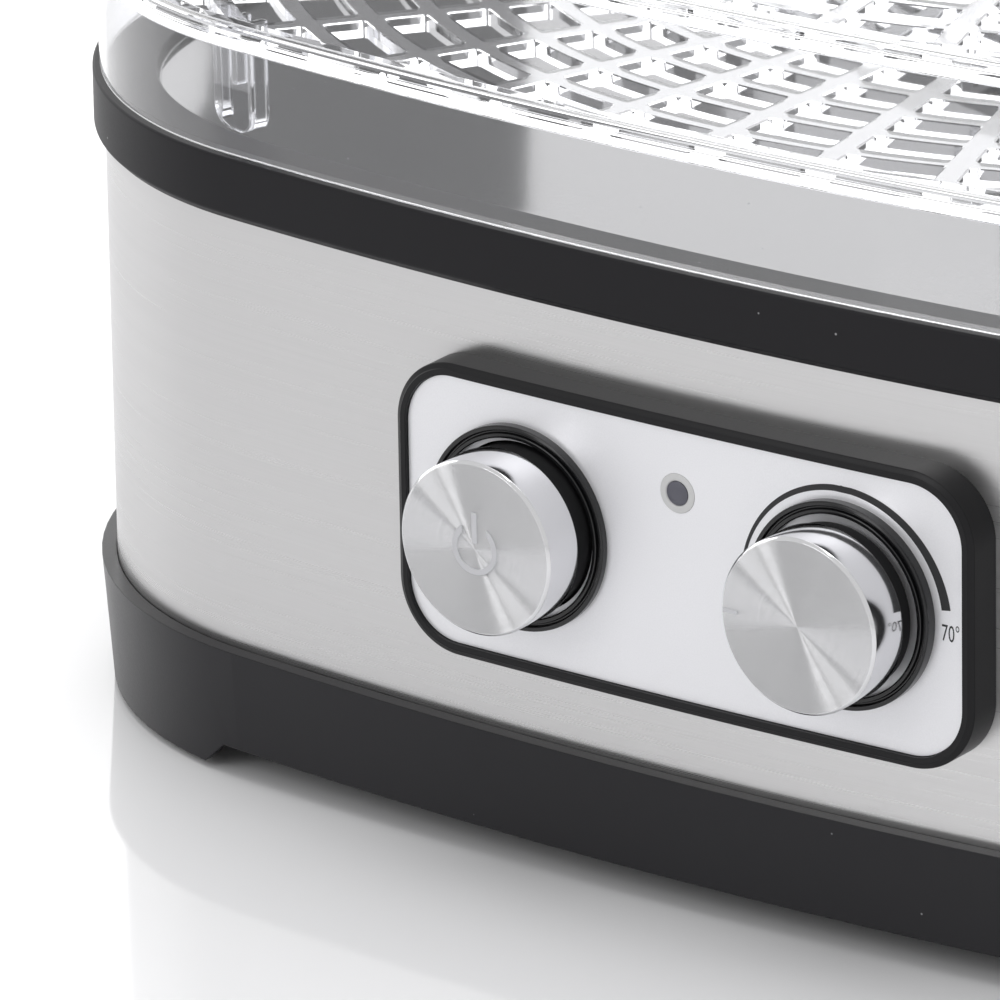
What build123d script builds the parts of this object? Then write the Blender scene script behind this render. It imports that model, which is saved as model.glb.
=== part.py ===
"""Food dehydrator: a fan-heated base with a control panel, five stacking clear trays and a clear lid.

Millimetres. +Z is up, +X is to the right as seen by someone facing the control panel, and the panel
faces -Y. The origin is the centre of the whole object's bounding box, on the surface it stands on.
The plan shape is worked out around the body's own centre, and every piece is shifted by BODY_Y at
the end, because the knobs stand further out in front than the cord inlet does behind.
"""
from build123d import *
import os
from math import asin, atan2, cos, degrees, hypot, pi, radians, sin, sqrt

# ---------------------------------------------------------------- driving dimensions
BODY_W = 392.4            # steel band, left to right
BODY_D = 340.6            # steel band, front to back
FRONT_R = 949.0           # crown of the front and back
SIDE_R = 949.0            # crown of the two ends
CORNER_R = 85.2           # plan radius of the corners

FOOT_H = 6.8              # floor to the raised edge between the corner feet
FOOT_REACH = 24.0         # corner feet end this far past the corner arcs' centres
FOOT_SLOPE = 8.8          # length of a foot's sloped end
BASE_BAND_H = 21.5        # black band from the raised edge to the steel
STEEL_H = 92.2            # visible height of the steel band
RIM_H = 13.5              # black rim above the steel
BAND_PROUD = 3.2          # black base band outside the steel
RIM_PROUD = 2.3           # rim outside the steel
BAND_DRAFT = 4.0          # degrees, base band leaning in towards the floor
STEEL_T = 0.7
STEEL_TUCK = 3.5          # how far the steel goes up into the rim and down into the base band
SHELL_T = 2.5             # moulded walls
LIP_T = 2.0               # locating lips inside the steel band
LEDGE_W = 13.6            # flat ledge inside the rim's outer edge
WELL_DROP = 2.5           # step from the ledge down to the deck's floor

TRAY_COUNT = 5
TRAY_PITCH = 27.5         # height that one tray adds to the stack
TRAY_INSET = 1.3          # tray wall inside the rim's outer edge
TRAY_WALL = 1.8
TRAY_LIP_H = 4.8          # thicker band at a tray's top edge
TRAY_LIP_PROUD = 0.8
GRID_T = 3.3
GRID_DROP = 1.7           # grid's top below the tray's top edge
GRID_BORDER = 6.0         # solid margin around the grid's slots
SLOT_START = 16.3         # inner radius of the first ring of slots
SLOT_PITCH = 13.0         # ring to ring
SLOT_LENGTH = 32.0        # longest step from slot to slot around a ring
SLOT_BAR = 4.0            # bar between two rings
SPOKE_BAR = 5.0           # bar between two slots of one ring
SLOT_COUNT = 10           # slots in the smallest ring; the number doubles as the rings grow
LEG_W = 13.0
LEG_DEPTH = 4.5
LEG_T = 1.6
LEG_INSET = 14.2          # leg's outer face inside the steel band's plan
LEG_TURN = 10.7           # degrees around the corner arc from its front end

LID_WALL_H = 13.0
LID_PLATE_T = 2.4
LID_RISE = 2.6            # raised middle of the lid
LID_RISE_INSET = 38.0

PANEL_W = 131.6           # silver plate
PANEL_H = 56.0
PANEL_CORNER = 11.7
PANEL_R = 1650.0          # crown of the control panel
PANEL_T = 1.2
PANEL_PROUD = 6.2         # silver plate in front of the steel, at the middle
PANEL_MID = 47.2          # panel's centre above the steel's lower edge
BEZEL_W = 2.6
BEZEL_LIFT = 0.9          # bezel's face in front of the silver plate
BEZEL_LAP = 3.4           # bezel's lap on the steel around the cut-out
BEZEL_BEHIND = 8.5        # bezel's collar behind the steel's front
BEZEL_TUCK = 4.5          # frame's blank behind the steel's front, before it is cut to the steel

KNOB_X = 38.25            # knob centres left and right of the middle
KNOB_R = 18.0
KNOB_FACE = 14.8          # knob's face in front of the silver plate
KNOB_SKIN = 1.0
CAP_LENGTH = 9.8
SKIRT_R = 17.2
RING_R = 21.2             # double-ridged ring around each knob
RING_W = 2.6
RING_LIFT = 1.5
BUTTON_TRAVEL = 3.0
SHAFT_R = 3.0
LED_Z = 14.9              # lamp above the panel's centre
LED_R = 2.5
LED_RING_R = 4.05

FAN_R = 58.0
FAN_H = 18.0
FAN_BLADES = 7
HUB_R = 14.0
DUCT_R = 62.0
DUCT_T = 0.8
DUCT_FLANGE_R = 71.0
MOTOR_R = 26.0
MOTOR_H = 32.0
MOTOR_SHAFT_R = 2.5
OUTLET_R = 58.0           # hole in the deck
INTAKE_R = 52.0           # hole in the housing's floor
GRILLE_LAP = 6.5
GRILLE_T = 1.5

TOWER_R = 5.0
TOWER_BORE_R = 3.8
SCREW_R = 1.25
SCREW_HEAD_R = 2.8
SCREW_HEAD_H = 2.2
PAD_R = 8.0
PAD_H = 3.0
GLAND_X = -100.0
GLAND_R = 6.0
CORD_R = 3.4

FIT = 0.15                # clearance between fixed moulded pieces
RUN = 0.05                # radial clearance of a turning shaft
FREE = 0.4                # clearance around a piece that slides out

# ---------------------------------------------------------------- derived heights and places
BAND_TOP = FOOT_H + BASE_BAND_H
STEEL_TOP = BAND_TOP + STEEL_H
RIM_TOP = STEEL_TOP + RIM_H
DECK_Z = RIM_TOP - WELL_DROP                 # top of the deck's floor
DECK_UNDER = DECK_Z - SHELL_T
FLOOR_Z = FOOT_H + 1.2                       # underside of the housing's floor
FLOOR_TOP = FLOOR_Z + SHELL_T
PANEL_Y = -(BODY_D / 2 + PANEL_PROUD)
PANEL_Z = BAND_TOP + PANEL_MID
BEZEL_DEPTH = PANEL_PROUD + BEZEL_BEHIND
KNOB_FRONT = PANEL_Y - KNOB_FACE
GLAND_OUT = 3.5
BODY_Y = (-KNOB_FRONT - (BODY_D / 2 + GLAND_OUT)) / 2
TRAY_GROW = RIM_PROUD - TRAY_INSET           # tray wall's outer face, outside the steel's plan
TRAY_IN = TRAY_GROW - TRAY_WALL
TOWER_SPOTS = [(sx * BODY_W * 0.35, sy * BODY_D * 0.36) for sx in (-1, 1) for sy in (-1, 1)]
TOWER_SPOTS += [(sx * BODY_W * 0.43, 0.0) for sx in (-1, 1)]
TOWER_TOP = STEEL_TOP - 12.0


# ---------------------------------------------------------------- plan shape
def corner_centre():
    """Centre of the front right corner arc, tangent to the front arc and to the end arc."""
    ax, ay = 0.0, FRONT_R - BODY_D / 2
    bx, by = BODY_W / 2 - SIDE_R, 0.0
    ra, rb = FRONT_R - CORNER_R, SIDE_R - CORNER_R
    gap = hypot(bx - ax, by - ay)
    along = (ra * ra - rb * rb + gap * gap) / (2 * gap)
    across = sqrt(ra * ra - along * along)
    ux, uy = (bx - ax) / gap, (by - ay) / gap
    spots = [(ax + ux * along + s * uy * across, ay + uy * along - s * ux * across) for s in (-1, 1)]
    return max(spots)


CORNER = corner_centre()
CORNER_START = degrees(atan2(CORNER[1] - (FRONT_R - BODY_D / 2), CORNER[0]))
CORNER_END = degrees(atan2(CORNER[1], CORNER[0] - (BODY_W / 2 - SIDE_R)))


def outline(grow=0.0):
    """Plan of the body, parallel to the steel band's outer face and `grow` outside it."""
    cx, cy = CORNER
    half_front, half_side, turn = CORNER_START + 90, -CORNER_END, CORNER_END - CORNER_START
    centre_y, centre_x = FRONT_R - BODY_D / 2, BODY_W / 2 - SIDE_R
    arcs = [
        ((0, centre_y), FRONT_R, -90 - half_front, 2 * half_front),
        ((cx, cy), CORNER_R, CORNER_START, turn),
        ((centre_x, 0), SIDE_R, -half_side, 2 * half_side),
        ((cx, -cy), CORNER_R, half_side, turn),
        ((0, -centre_y), FRONT_R, 90 - half_front, 2 * half_front),
        ((-cx, -cy), CORNER_R, 90 + half_front, turn),
        ((-centre_x, 0), SIDE_R, 180 - half_side, 2 * half_side),
        ((-cx, cy), CORNER_R, 180 + half_side, turn),
    ]
    edges = [CenterArc(centre, radius + grow, start, sweep) for centre, radius, start, sweep in arcs]
    return Face(Wire(edges))


def slab(grow, low, high):
    """Solid with the body's plan from height `low` to `high`."""
    return extrude(Pos(0, 0, low) * outline(grow), high - low)


def ring(grow_out, grow_in, low, high):
    """Closed band between two parallel outlines."""
    return slab(grow_out, low, high) - slab(grow_in, low - 1, high + 1)


def flare(grow_low, low, grow_high, high):
    """Solid with the body's plan, growing from one height to the other."""
    return loft([Pos(0, 0, low) * outline(grow_low), Pos(0, 0, high) * outline(grow_high)], ruled=True)


def disc(radius, low, high, x=0.0, y=0.0):
    """Upright cylinder between two heights."""
    return Pos(x, y, (low + high) / 2) * Cylinder(radius, high - low)


def block(x, y, z):
    """Box from three (low, high) pairs."""
    sizes = [high - low for low, high in (x, y, z)]
    middle = [(low + high) / 2 for low, high in (x, y, z)]
    return Pos(*middle) * Box(*sizes)


def band_grow(z):
    """Base band's outer face, outside the steel's plan, at height z."""
    return BAND_PROUD - (BAND_TOP - z) * sin(radians(BAND_DRAFT))


# ---------------------------------------------------------------- base, outside
def base_housing():
    """Lower moulding: tapered outer band with corner feet, floor, steel groove and screw towers."""
    foot = PAD_H / 2
    body = flare(band_grow(foot), foot, BAND_PROUD, BAND_TOP)
    body -= flare(band_grow(foot) - SHELL_T, foot, band_grow(FLOOR_Z) - SHELL_T, FLOOR_Z)
    body -= flare(band_grow(FLOOR_TOP) - SHELL_T, FLOOR_TOP, band_grow(BAND_TOP - 6) - SHELL_T, BAND_TOP - 6)
    body -= slab(-STEEL_T - FIT - LIP_T, BAND_TOP - 7, BAND_TOP + 1)
    body -= ring(FIT, -STEEL_T - FIT, BAND_TOP - STEEL_TUCK - FIT, BAND_TOP + 1)
    body += ring(-STEEL_T - FIT, -STEEL_T - FIT - LIP_T, BAND_TOP - 2, BAND_TOP + 7)
    pads = [disc(PAD_R + 4, foot, FLOOR_Z + 0.5, x, y) for x, y in pad_spots()]
    body = body.fuse(*pads)
    body -= foot_gaps()
    body -= [disc(PAD_R + FIT, foot - 1, PAD_H, x, y) for x, y in pad_spots()]
    body -= disc(INTAKE_R, FLOOR_Z - 1, FLOOR_TOP + 1)
    body -= disc(INTAKE_R + GRILLE_LAP + FIT, FLOOR_Z - 1, FLOOR_Z + GRILLE_T)
    towers = [disc(TOWER_R, FLOOR_TOP - 1, TOWER_TOP, x, y) for x, y in TOWER_SPOTS]
    bosses = [disc(5, FLOOR_TOP - 1, BRACKET_Z, x, 0) for x in BRACKET_X]
    bosses.append(disc(5, FLOOR_TOP - 1, CLAMP_Z, CLAMP_X[0], CLAMP_Y))
    bosses.append(disc(5, FLOOR_TOP - 1, CLAMP_Z, CLAMP_X[1], CLAMP_Y))
    body = body.fuse(*towers, *bosses)
    body -= [disc(TOWER_BORE_R, FLOOR_Z - 1, TOWER_TOP - 3, x, y) for x, y in TOWER_SPOTS]
    body -= [disc(SCREW_R + FIT, TOWER_TOP - 4, TOWER_TOP + 1, x, y) for x, y in TOWER_SPOTS]
    body -= [disc(SCREW_R + RUN, BRACKET_Z - 7, BRACKET_Z + 1, x, 0) for x in BRACKET_X]
    body -= [disc(SCREW_R + RUN, CLAMP_Z - 7, CLAMP_Z + 1, x, CLAMP_Y) for x in CLAMP_X]
    return body


def pad_spots():
    """Plan centres of the four rubber pads, inside the corner feet."""
    reach = CORNER_R + band_grow(PAD_H) - PAD_R - 8
    x = CORNER[0] + reach * cos(radians(-45))
    y = CORNER[1] + reach * sin(radians(-45))
    return [(sx * x, sy * y) for sx in (-1, 1) for sy in (-1, 1)]


def foot_gaps():
    """Cuts that raise the band's lower edge between the corner feet, with sloped ends."""
    top, low = FOOT_H, -1.0
    gaps = []
    for half, reach, turn in ((CORNER[0] + FOOT_REACH, BODY_D, 0), (-CORNER[1] + FOOT_REACH, BODY_W, 90)):
        raised = half - FOOT_SLOPE
        side = Polyline((-half, low), (half, low), (raised, top), (-raised, top), close=True)
        gaps.append(Rot(0, 0, turn) * Rot(90, 0, 0) * extrude(make_face(side), reach, both=True))
    return gaps


def steel_band():
    """Brushed steel sleeve with the panel's cut-out and the cord gland's hole."""
    band = ring(0, -STEEL_T, BAND_TOP - STEEL_TUCK, STEEL_TOP + STEEL_TUCK)
    band -= panel_block(PANEL_W / 2 + BEZEL_W - BEZEL_LAP + FIT, PANEL_H / 2 + BEZEL_W - BEZEL_LAP + FIT,
                        PANEL_CORNER + BEZEL_W - BEZEL_LAP + FIT, 12, -20)
    return band - gland_place() * Cylinder(GLAND_R + FIT, 30)


def top_deck():
    """Rim, tray ledge and deck floor in one moulding, with the outlet hole and screw bosses."""
    chamfer_h = 1.6
    deck = slab(RIM_PROUD, STEEL_TOP + chamfer_h, RIM_TOP)
    deck += flare(RIM_PROUD - chamfer_h, STEEL_TOP, RIM_PROUD, STEEL_TOP + chamfer_h)
    inner = -STEEL_T - FIT - LIP_T
    deck -= slab(inner, STEEL_TOP - 1, DECK_UNDER)
    deck -= ring(FIT, -STEEL_T - FIT, STEEL_TOP - 1, STEEL_TOP + STEEL_TUCK + FIT)
    deck += ring(-STEEL_T - FIT, inner, STEEL_TOP - 5, STEEL_TOP + 1)
    deck -= slab(RIM_PROUD - LEDGE_W, DECK_Z, RIM_TOP + 1)
    deck = deck.fuse(*[disc(TOWER_R, TOWER_TOP, DECK_UNDER + 1, x, y) for x, y in TOWER_SPOTS])
    deck -= [disc(SCREW_R + RUN, TOWER_TOP - 1, TOWER_TOP + 14, x, y) for x, y in TOWER_SPOTS]
    deck -= disc(OUTLET_R, DECK_UNDER - 1, DECK_Z + 1)
    deck -= disc(OUTLET_R + GRILLE_LAP + FIT, DECK_Z - GRILLE_T, DECK_Z + 1)
    return deck - [disc(SCREW_R + FIT, DECK_UNDER - 1, DECK_Z, x, y) for x, y in GRILLE_SCREWS]


def sector(r_in, r_out, middle, sweep):
    """Flat slot between two radii, centred on an angle; sweep in degrees."""
    a, b = middle - sweep / 2, middle + sweep / 2
    inner = CenterArc((0, 0), r_in, a, sweep)
    outer = CenterArc((0, 0), r_out, a, sweep)
    sides = [Line(inner @ 0, outer @ 0), Line(inner @ 1, outer @ 1)]
    return Face(Wire([inner, sides[1], outer, sides[0]]))


def slot_rings(r_first, r_last, pitch, bar, length, spoke, count):
    """Concentric rings of slots; a ring's count doubles until its slots are `length` apart or less."""
    slots = []
    r_in = r_first
    while r_in + pitch - bar <= r_last:
        r_out = r_in + pitch - bar
        middle_r = (r_in + r_out) / 2
        while 2 * pi * middle_r / count > length:
            count *= 2
        sweep = 360 / count - degrees(spoke / middle_r)
        slots += [sector(r_in, r_out, 360 * (n + 0.5) / count - 90, sweep) for n in range(count)]
        r_in += pitch
    return slots


def pierced(face, slots, thickness):
    """Plate made from a face with the given slots through it."""
    return extrude(face.make_holes([slot.outer_wire() for slot in slots]), thickness)


def air_grille():
    """Slotted outlet grille in the middle of the deck."""
    radius = OUTLET_R + GRILLE_LAP
    plate = pierced(Face(Wire.make_circle(radius)), slot_rings(8, OUTLET_R - 2, 7, 3, 24, 3, 6), GRILLE_T)
    plate -= [disc(SCREW_R + FIT, -1, GRILLE_T + 1, x, y) for x, y in GRILLE_SCREWS]
    return Pos(0, 0, DECK_Z - GRILLE_T) * plate


def intake_grille():
    """Slotted intake grille under the housing's floor."""
    radius = INTAKE_R + GRILLE_LAP
    plate = pierced(Face(Wire.make_circle(radius)), slot_rings(10, INTAKE_R - 1, 7, 3, 24, 3, 6), GRILLE_T)
    return Pos(0, 0, FLOOR_Z) * plate


def rubber_pads():
    """Four soft pads that the base stands on."""
    return [disc(PAD_R, 0, PAD_H, x, y) for x, y in pad_spots()]


def screw(x, y, seat, length, up=True):
    """Screw whose head bears on height `seat`; `up` puts the shank above the head."""
    way = 1 if up else -1
    head = sorted((seat, seat - way * SCREW_HEAD_H))
    shank = sorted((seat - way * 0.5, seat + way * length))
    return disc(SCREW_HEAD_R, *head, x, y) + disc(SCREW_R, *shank, x, y)


def housing_screws():
    """Long-reach screws from inside the towers up into the deck's bosses."""
    return [screw(x, y, TOWER_TOP - 3, 15) for x, y in TOWER_SPOTS]


GRILLE_SCREWS = [(sx * (OUTLET_R + GRILLE_LAP / 2) * cos(pi / 4), sy * (OUTLET_R + GRILLE_LAP / 2) * sin(pi / 4))
                 for sx in (-1, 1) for sy in (-1, 1)]


def grille_screws():
    """Four screws that clamp the outlet grille, the deck and the duct's flange together."""
    return [screw(x, y, DECK_Z, GRILLE_T + SHELL_T + 3, up=False) for x, y in GRILLE_SCREWS]


def rating_plate():
    """Blank plate on the underside of the floor."""
    return block((-115, -65), (-20, 20), (FLOOR_Z - 0.4, FLOOR_Z))


# ---------------------------------------------------------------- control panel
def panel_crown(lift):
    """Upright cylinder whose front face is the panel's crown, `lift` in front of the silver plate."""
    return Pos(0, PANEL_Y + PANEL_R, PANEL_Z) * Cylinder(PANEL_R + lift, 200)


def panel_block(half_w, half_h, corner, front, back):
    """Rounded block along Y whose front and back follow the panel's crown."""
    deep = front - back + 12
    plate = RectangleRounded(2 * half_w, 2 * half_h, corner)
    prism = Pos(0, PANEL_Y - front - 2, PANEL_Z) * Rot(90, 0, 0) * extrude(plate, -deep)
    return (prism & panel_crown(front)) - panel_crown(back)


def knob_place(x):
    """Places a shape that is built along +Z at a knob's centre, with +Z towards the viewer."""
    return Pos(x, PANEL_Y, PANEL_Z) * Rot(90, 0, 0)


def gland_place():
    """Places a shape that is built along +Z at the cord gland, with +Z out of the back."""
    angle = asin(abs(GLAND_X) / FRONT_R)
    y = FRONT_R * cos(angle) - (FRONT_R - BODY_D / 2)
    return Pos(GLAND_X, y, BAND_TOP + 18) * Rot(0, 0, degrees(angle)) * Rot(-90, 0, 0)


def tube(radius, low, high, bore=0.0):
    """Cylinder on the Z axis between two heights, with an optional bore."""
    body = disc(radius, low, high)
    return body - disc(bore, low - 1, high + 1) if bore else body


def control_bezel():
    """Black frame on the steel, with a collar through the cut-out and a web behind the plate."""
    half_w, half_h, corner = PANEL_W / 2, PANEL_H / 2, PANEL_CORNER
    lap = BEZEL_W - BEZEL_LAP
    frame = panel_block(half_w + BEZEL_W, half_h + BEZEL_W, corner + BEZEL_W, BEZEL_LIFT,
                        -PANEL_PROUD - BEZEL_TUCK)
    frame -= slab(RUN, BAND_TOP, STEEL_TOP)
    frame += panel_block(half_w + lap, half_h + lap, corner + lap, 0, -BEZEL_DEPTH)
    frame -= panel_block(half_w + RUN, half_h + RUN, corner + RUN, 5, -PANEL_T)
    inner = lap - LIP_T
    frame -= panel_block(half_w + inner, half_h + inner, corner + inner, -PANEL_T - SHELL_T, -BEZEL_DEPTH - 3)
    return frame - panel_holes()


def panel_holes():
    """Openings through the plate and the web: button well, thermostat shaft and lamp."""
    through = 2 * BEZEL_DEPTH
    return [knob_place(-KNOB_X) * Cylinder(SKIRT_R + FREE, through),
            knob_place(KNOB_X) * Cylinder(SHAFT_R + 2, through),
            Pos(0, 0, LED_Z) * knob_place(0) * Cylinder(LED_RING_R + RUN, through)]


def control_panel():
    """Silver plate inside the bezel."""
    return panel_block(PANEL_W / 2, PANEL_H / 2, PANEL_CORNER, 0, -PANEL_T) - panel_holes()


def knob_rings():
    """Two double-ridged rings on the silver plate, one around each knob."""
    middle = RING_R - RING_W / 2
    rings = []
    for x in (-KNOB_X, KNOB_X):
        shape = tube(RING_R, -2, RING_LIFT, RING_R - RING_W)
        shape -= tube(middle + 0.4, RING_LIFT - 0.6, RING_LIFT + 1, middle - 0.4)
        rings.append(knob_place(x) * shape - panel_crown(0))
    return rings


def knob_cap():
    """Turned aluminium cap, open behind, with a small edge chamfer."""
    shell = tube(KNOB_R, KNOB_FACE - CAP_LENGTH, KNOB_FACE)
    shell -= tube(KNOB_R - KNOB_SKIN, 0, KNOB_FACE - KNOB_SKIN)
    edges = shell.edges().filter_by(GeomType.CIRCLE).filter_by(lambda e: abs(e.radius - KNOB_R) < 0.01)
    return chamfer(edges.sort_by(Axis.Z)[-1], 0.5)


def knob_core(depth):
    """Dark plastic core and skirt of a knob, reaching `depth` behind the silver plate's face."""
    top = KNOB_FACE - KNOB_SKIN - RUN
    neck = KNOB_FACE - CAP_LENGTH - RUN
    return tube(KNOB_R - KNOB_SKIN - RUN, neck - 0.5, top) + tube(SKIRT_R - FIT, -depth, neck)


MARK_T = 0.3              # depth of the marks let into the knobs' faces
SYMBOL_R = 5.4
SYMBOL_LINE = 1.2
SYMBOL_GAP = 3.0          # half width of the opening at the circle's top
POINTER_L = 3.4


def power_symbol():
    """Open circle and bar let into the on/off button's face."""
    low = KNOB_FACE - MARK_T
    circle = tube(SYMBOL_R, low, KNOB_FACE, SYMBOL_R - SYMBOL_LINE)
    circle -= block((-SYMBOL_GAP, SYMBOL_GAP), (0, SYMBOL_R + 1), (low - 1, KNOB_FACE + 1))
    half = SYMBOL_LINE / 2
    return circle + block((-half, half), (SYMBOL_R * 0.2, SYMBOL_R * 1.4), (low, KNOB_FACE))


def pointer_mark():
    """Short bar at the rest position of the thermostat knob, at nine o'clock."""
    tip = 0.6 - KNOB_R
    return block((tip, tip + POINTER_L), (-0.4, 0.4), (KNOB_FACE - MARK_T, KNOB_FACE))


def power_button():
    """On/off push button: cap, core with a stem, and the symbol."""
    place = knob_place(-KNOB_X)
    stem = tube(SHAFT_R, -BEZEL_DEPTH - 4, -4)
    core = knob_core(5) + stem
    return {"power_button_cap": place * (knob_cap() - power_symbol()), "power_button_core": place * core,
            "power_symbol": place * power_symbol()}


def thermostat_knob():
    """Thermostat knob: cap, core, pointer, and the shaft it turns."""
    place = knob_place(KNOB_X)
    shaft = tube(SHAFT_R, -SWITCH_BACK + 6, KNOB_FACE - 4)
    core = knob_core(-1.2) - tube(SHAFT_R, -5, KNOB_FACE - 4)
    return {"thermostat_knob_cap": place * (knob_cap() - pointer_mark()),
            "thermostat_knob_core": place * core,
            "thermostat_pointer": place * pointer_mark(), "thermostat_shaft": place * shaft}


CROWN_GAP = 1.6           # room for the panel's crown in front of the switch and the thermostat
SWITCH_BACK = BEZEL_DEPTH + 22.0     # rear of the switch and thermostat bodies behind the plate's face


def control_parts():
    """Switch, thermostat and lamp behind the panel."""
    web = -PANEL_T - SHELL_T
    left, right, top = knob_place(-KNOB_X), knob_place(KNOB_X), Pos(0, 0, LED_Z) * knob_place(0)
    switch = block((-12, 12), (-11, 11), (-SWITCH_BACK, -BEZEL_DEPTH - 1))
    switch += block((-22, 22), (-5, 5), (-BEZEL_DEPTH - 4, -BEZEL_DEPTH - 2.5))
    ears = ((-22, -SKIRT_R - 2), (SKIRT_R + 2, 22))
    switch += [block(ear, (-5, 5), (-BEZEL_DEPTH - 4, web - CROWN_GAP)) for ear in ears]
    switch -= tube(SHAFT_R + FREE, -BEZEL_DEPTH - 5 - BUTTON_TRAVEL, 0)
    body = block((-15, 15), (-13, 13), (-SWITCH_BACK, web - CROWN_GAP)) + tube(5, web - 2, web)
    body -= tube(SHAFT_R + RUN, -SWITCH_BACK + 5, 1)
    lens = tube(LED_R, -6, 0.6)
    board = block((-9, 9), (-5, 5), (-8, -6.4))
    board += [block(leg, (-5, 5), (-7, web - RUN)) for leg in ((-9, -7), (7, 9))]
    return {"power_switch": left * switch, "thermostat_body": right * body, "lamp_lens": top * lens,
            "lamp_ring": top * tube(LED_RING_R, web, 0.3, LED_R + RUN), "lamp_board": top * board}


# ---------------------------------------------------------------- base, inside
BRACKET_Z = 20.0
BRACKET_X = (-INTAKE_R - 12.0, INTAKE_R + 12.0)
CLAMP_Z = 22.0
CLAMP_X = (GLAND_X - 12.0, GLAND_X + 12.0)
CLAMP_Y = BODY_D / 2 - 32.0
MOTOR_Z = BRACKET_Z + 1.5
FAN_Z = MOTOR_Z + MOTOR_H + 8.0
DUCT_Z = FAN_Z - 4.0
HEATER_Z = (FAN_Z + FAN_H + DECK_UNDER) / 2
COIL_RADII = (24.0, 38.0, 52.0)
COIL_R = 1.6


def fan_drive():
    """Bracket over the intake, motor on it, and the shaft with its fan."""
    bracket = block((BRACKET_X[0] - 7, BRACKET_X[1] + 7), (-8, 8), (BRACKET_Z, MOTOR_Z))
    bracket -= [disc(SCREW_R + FIT, BRACKET_Z - 1, MOTOR_Z + 1, x, 0) for x in BRACKET_X]
    motor = disc(MOTOR_R, MOTOR_Z, MOTOR_Z + MOTOR_H) + disc(8, MOTOR_Z + MOTOR_H - 1, MOTOR_Z + MOTOR_H + 4)
    motor -= disc(MOTOR_SHAFT_R + RUN, MOTOR_Z + 4, FAN_Z)
    shaft = disc(MOTOR_SHAFT_R, MOTOR_Z + 5, FAN_Z + FAN_H - 1)
    blade = Rot(32, 0, 0) * Box(FAN_R - HUB_R + 2, 26, 1.5)
    blade = Pos((HUB_R + FAN_R) / 2 - 1, 0, FAN_Z + FAN_H / 2) * blade
    fan = disc(HUB_R, FAN_Z, FAN_Z + FAN_H)
    fan = fan.fuse(*[Rot(0, 0, 360 * n / FAN_BLADES) * blade for n in range(FAN_BLADES)])
    fan &= disc(FAN_R, FAN_Z, FAN_Z + FAN_H)
    fan -= disc(MOTOR_SHAFT_R, FAN_Z - 1, FAN_Z + FAN_H - 1)
    return {"motor_bracket": bracket, "fan_motor": motor, "motor_shaft": shaft, "fan_impeller": fan}


def bracket_screws():
    """Two screws that hold the motor's bracket."""
    return [screw(x, 0, MOTOR_Z, 6, up=False) for x in BRACKET_X]


def heater():
    """Metal duct under the deck, crossed insulating plates in it, coil rings and thermal fuse."""
    duct = disc(DUCT_R + DUCT_T, DUCT_Z, DECK_UNDER) - disc(DUCT_R, DUCT_Z - 1, DECK_UNDER + 1)
    duct += disc(DUCT_FLANGE_R, DECK_UNDER - DUCT_T, DECK_UNDER) - disc(DUCT_R, DUCT_Z, DECK_UNDER + 1)
    duct -= [disc(SCREW_R + FIT, DECK_UNDER - 5, DECK_UNDER + 1, x, y) for x, y in GRILLE_SCREWS]
    half = DUCT_R - RUN
    low, high = HEATER_Z - 9, HEATER_Z + 9
    plates = block((-half + 0.5, half - 0.5), (-0.6, 0.6), (low, high))
    plates += block((-0.6, 0.6), (-half + 0.5, half - 0.5), (low, high))
    plates -= [Pos(0, 0, HEATER_Z) * Torus(radius, COIL_R + FIT) for radius in COIL_RADII]
    coils = [Pos(0, 0, HEATER_Z) * Torus(radius, COIL_R) for radius in COIL_RADII]
    fuse = Pos(DUCT_R + DUCT_T + 3.5, 0, HEATER_Z) * Cylinder(3.4, 16)
    return {"heater_duct": duct, "heater_plates": plates, "heater_coil": coils, "thermal_fuse": fuse}


def mains_parts():
    """Cord gland in the back, the clamp bar and its screws, and the terminal block."""
    gland = tube(GLAND_R, -6, 1) + tube(GLAND_R + 2.5, 0, 2) + tube(GLAND_R + 2.5, -6, -2.2)
    gland = gland_place() * (gland - tube(CORD_R, -8, 5))
    bar = block((CLAMP_X[0] - 5, CLAMP_X[1] + 5), (CLAMP_Y - 5, CLAMP_Y + 5), (CLAMP_Z, CLAMP_Z + 3))
    bar -= [disc(SCREW_R + FIT, CLAMP_Z - 1, CLAMP_Z + 4, x, CLAMP_Y) for x in CLAMP_X]
    terminal = block((GLAND_X - 16, GLAND_X + 16), (50, 66), (FLOOR_TOP, FLOOR_TOP + 15))
    terminal -= [disc(2.4, FLOOR_TOP + 6, FLOOR_TOP + 16, GLAND_X + x, 58) for x in (-10, 0, 10)]
    return {"cord_gland": gland, "cord_clamp": bar, "terminal_block": terminal,
            "clamp_screws": [screw(x, CLAMP_Y, CLAMP_Z + 3, 8, up=False) for x in CLAMP_X]}


# ---------------------------------------------------------------- trays and lid
def tray_skirt():
    """Clear wall of a tray with the thicker band at its top, foot at height 0."""
    lip = TRAY_PITCH - TRAY_LIP_H
    top = TRAY_PITCH - 0.1
    return ring(TRAY_GROW, TRAY_IN, 0, top) + ring(TRAY_GROW + TRAY_LIP_PROUD, TRAY_IN, lip, top)


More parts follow.
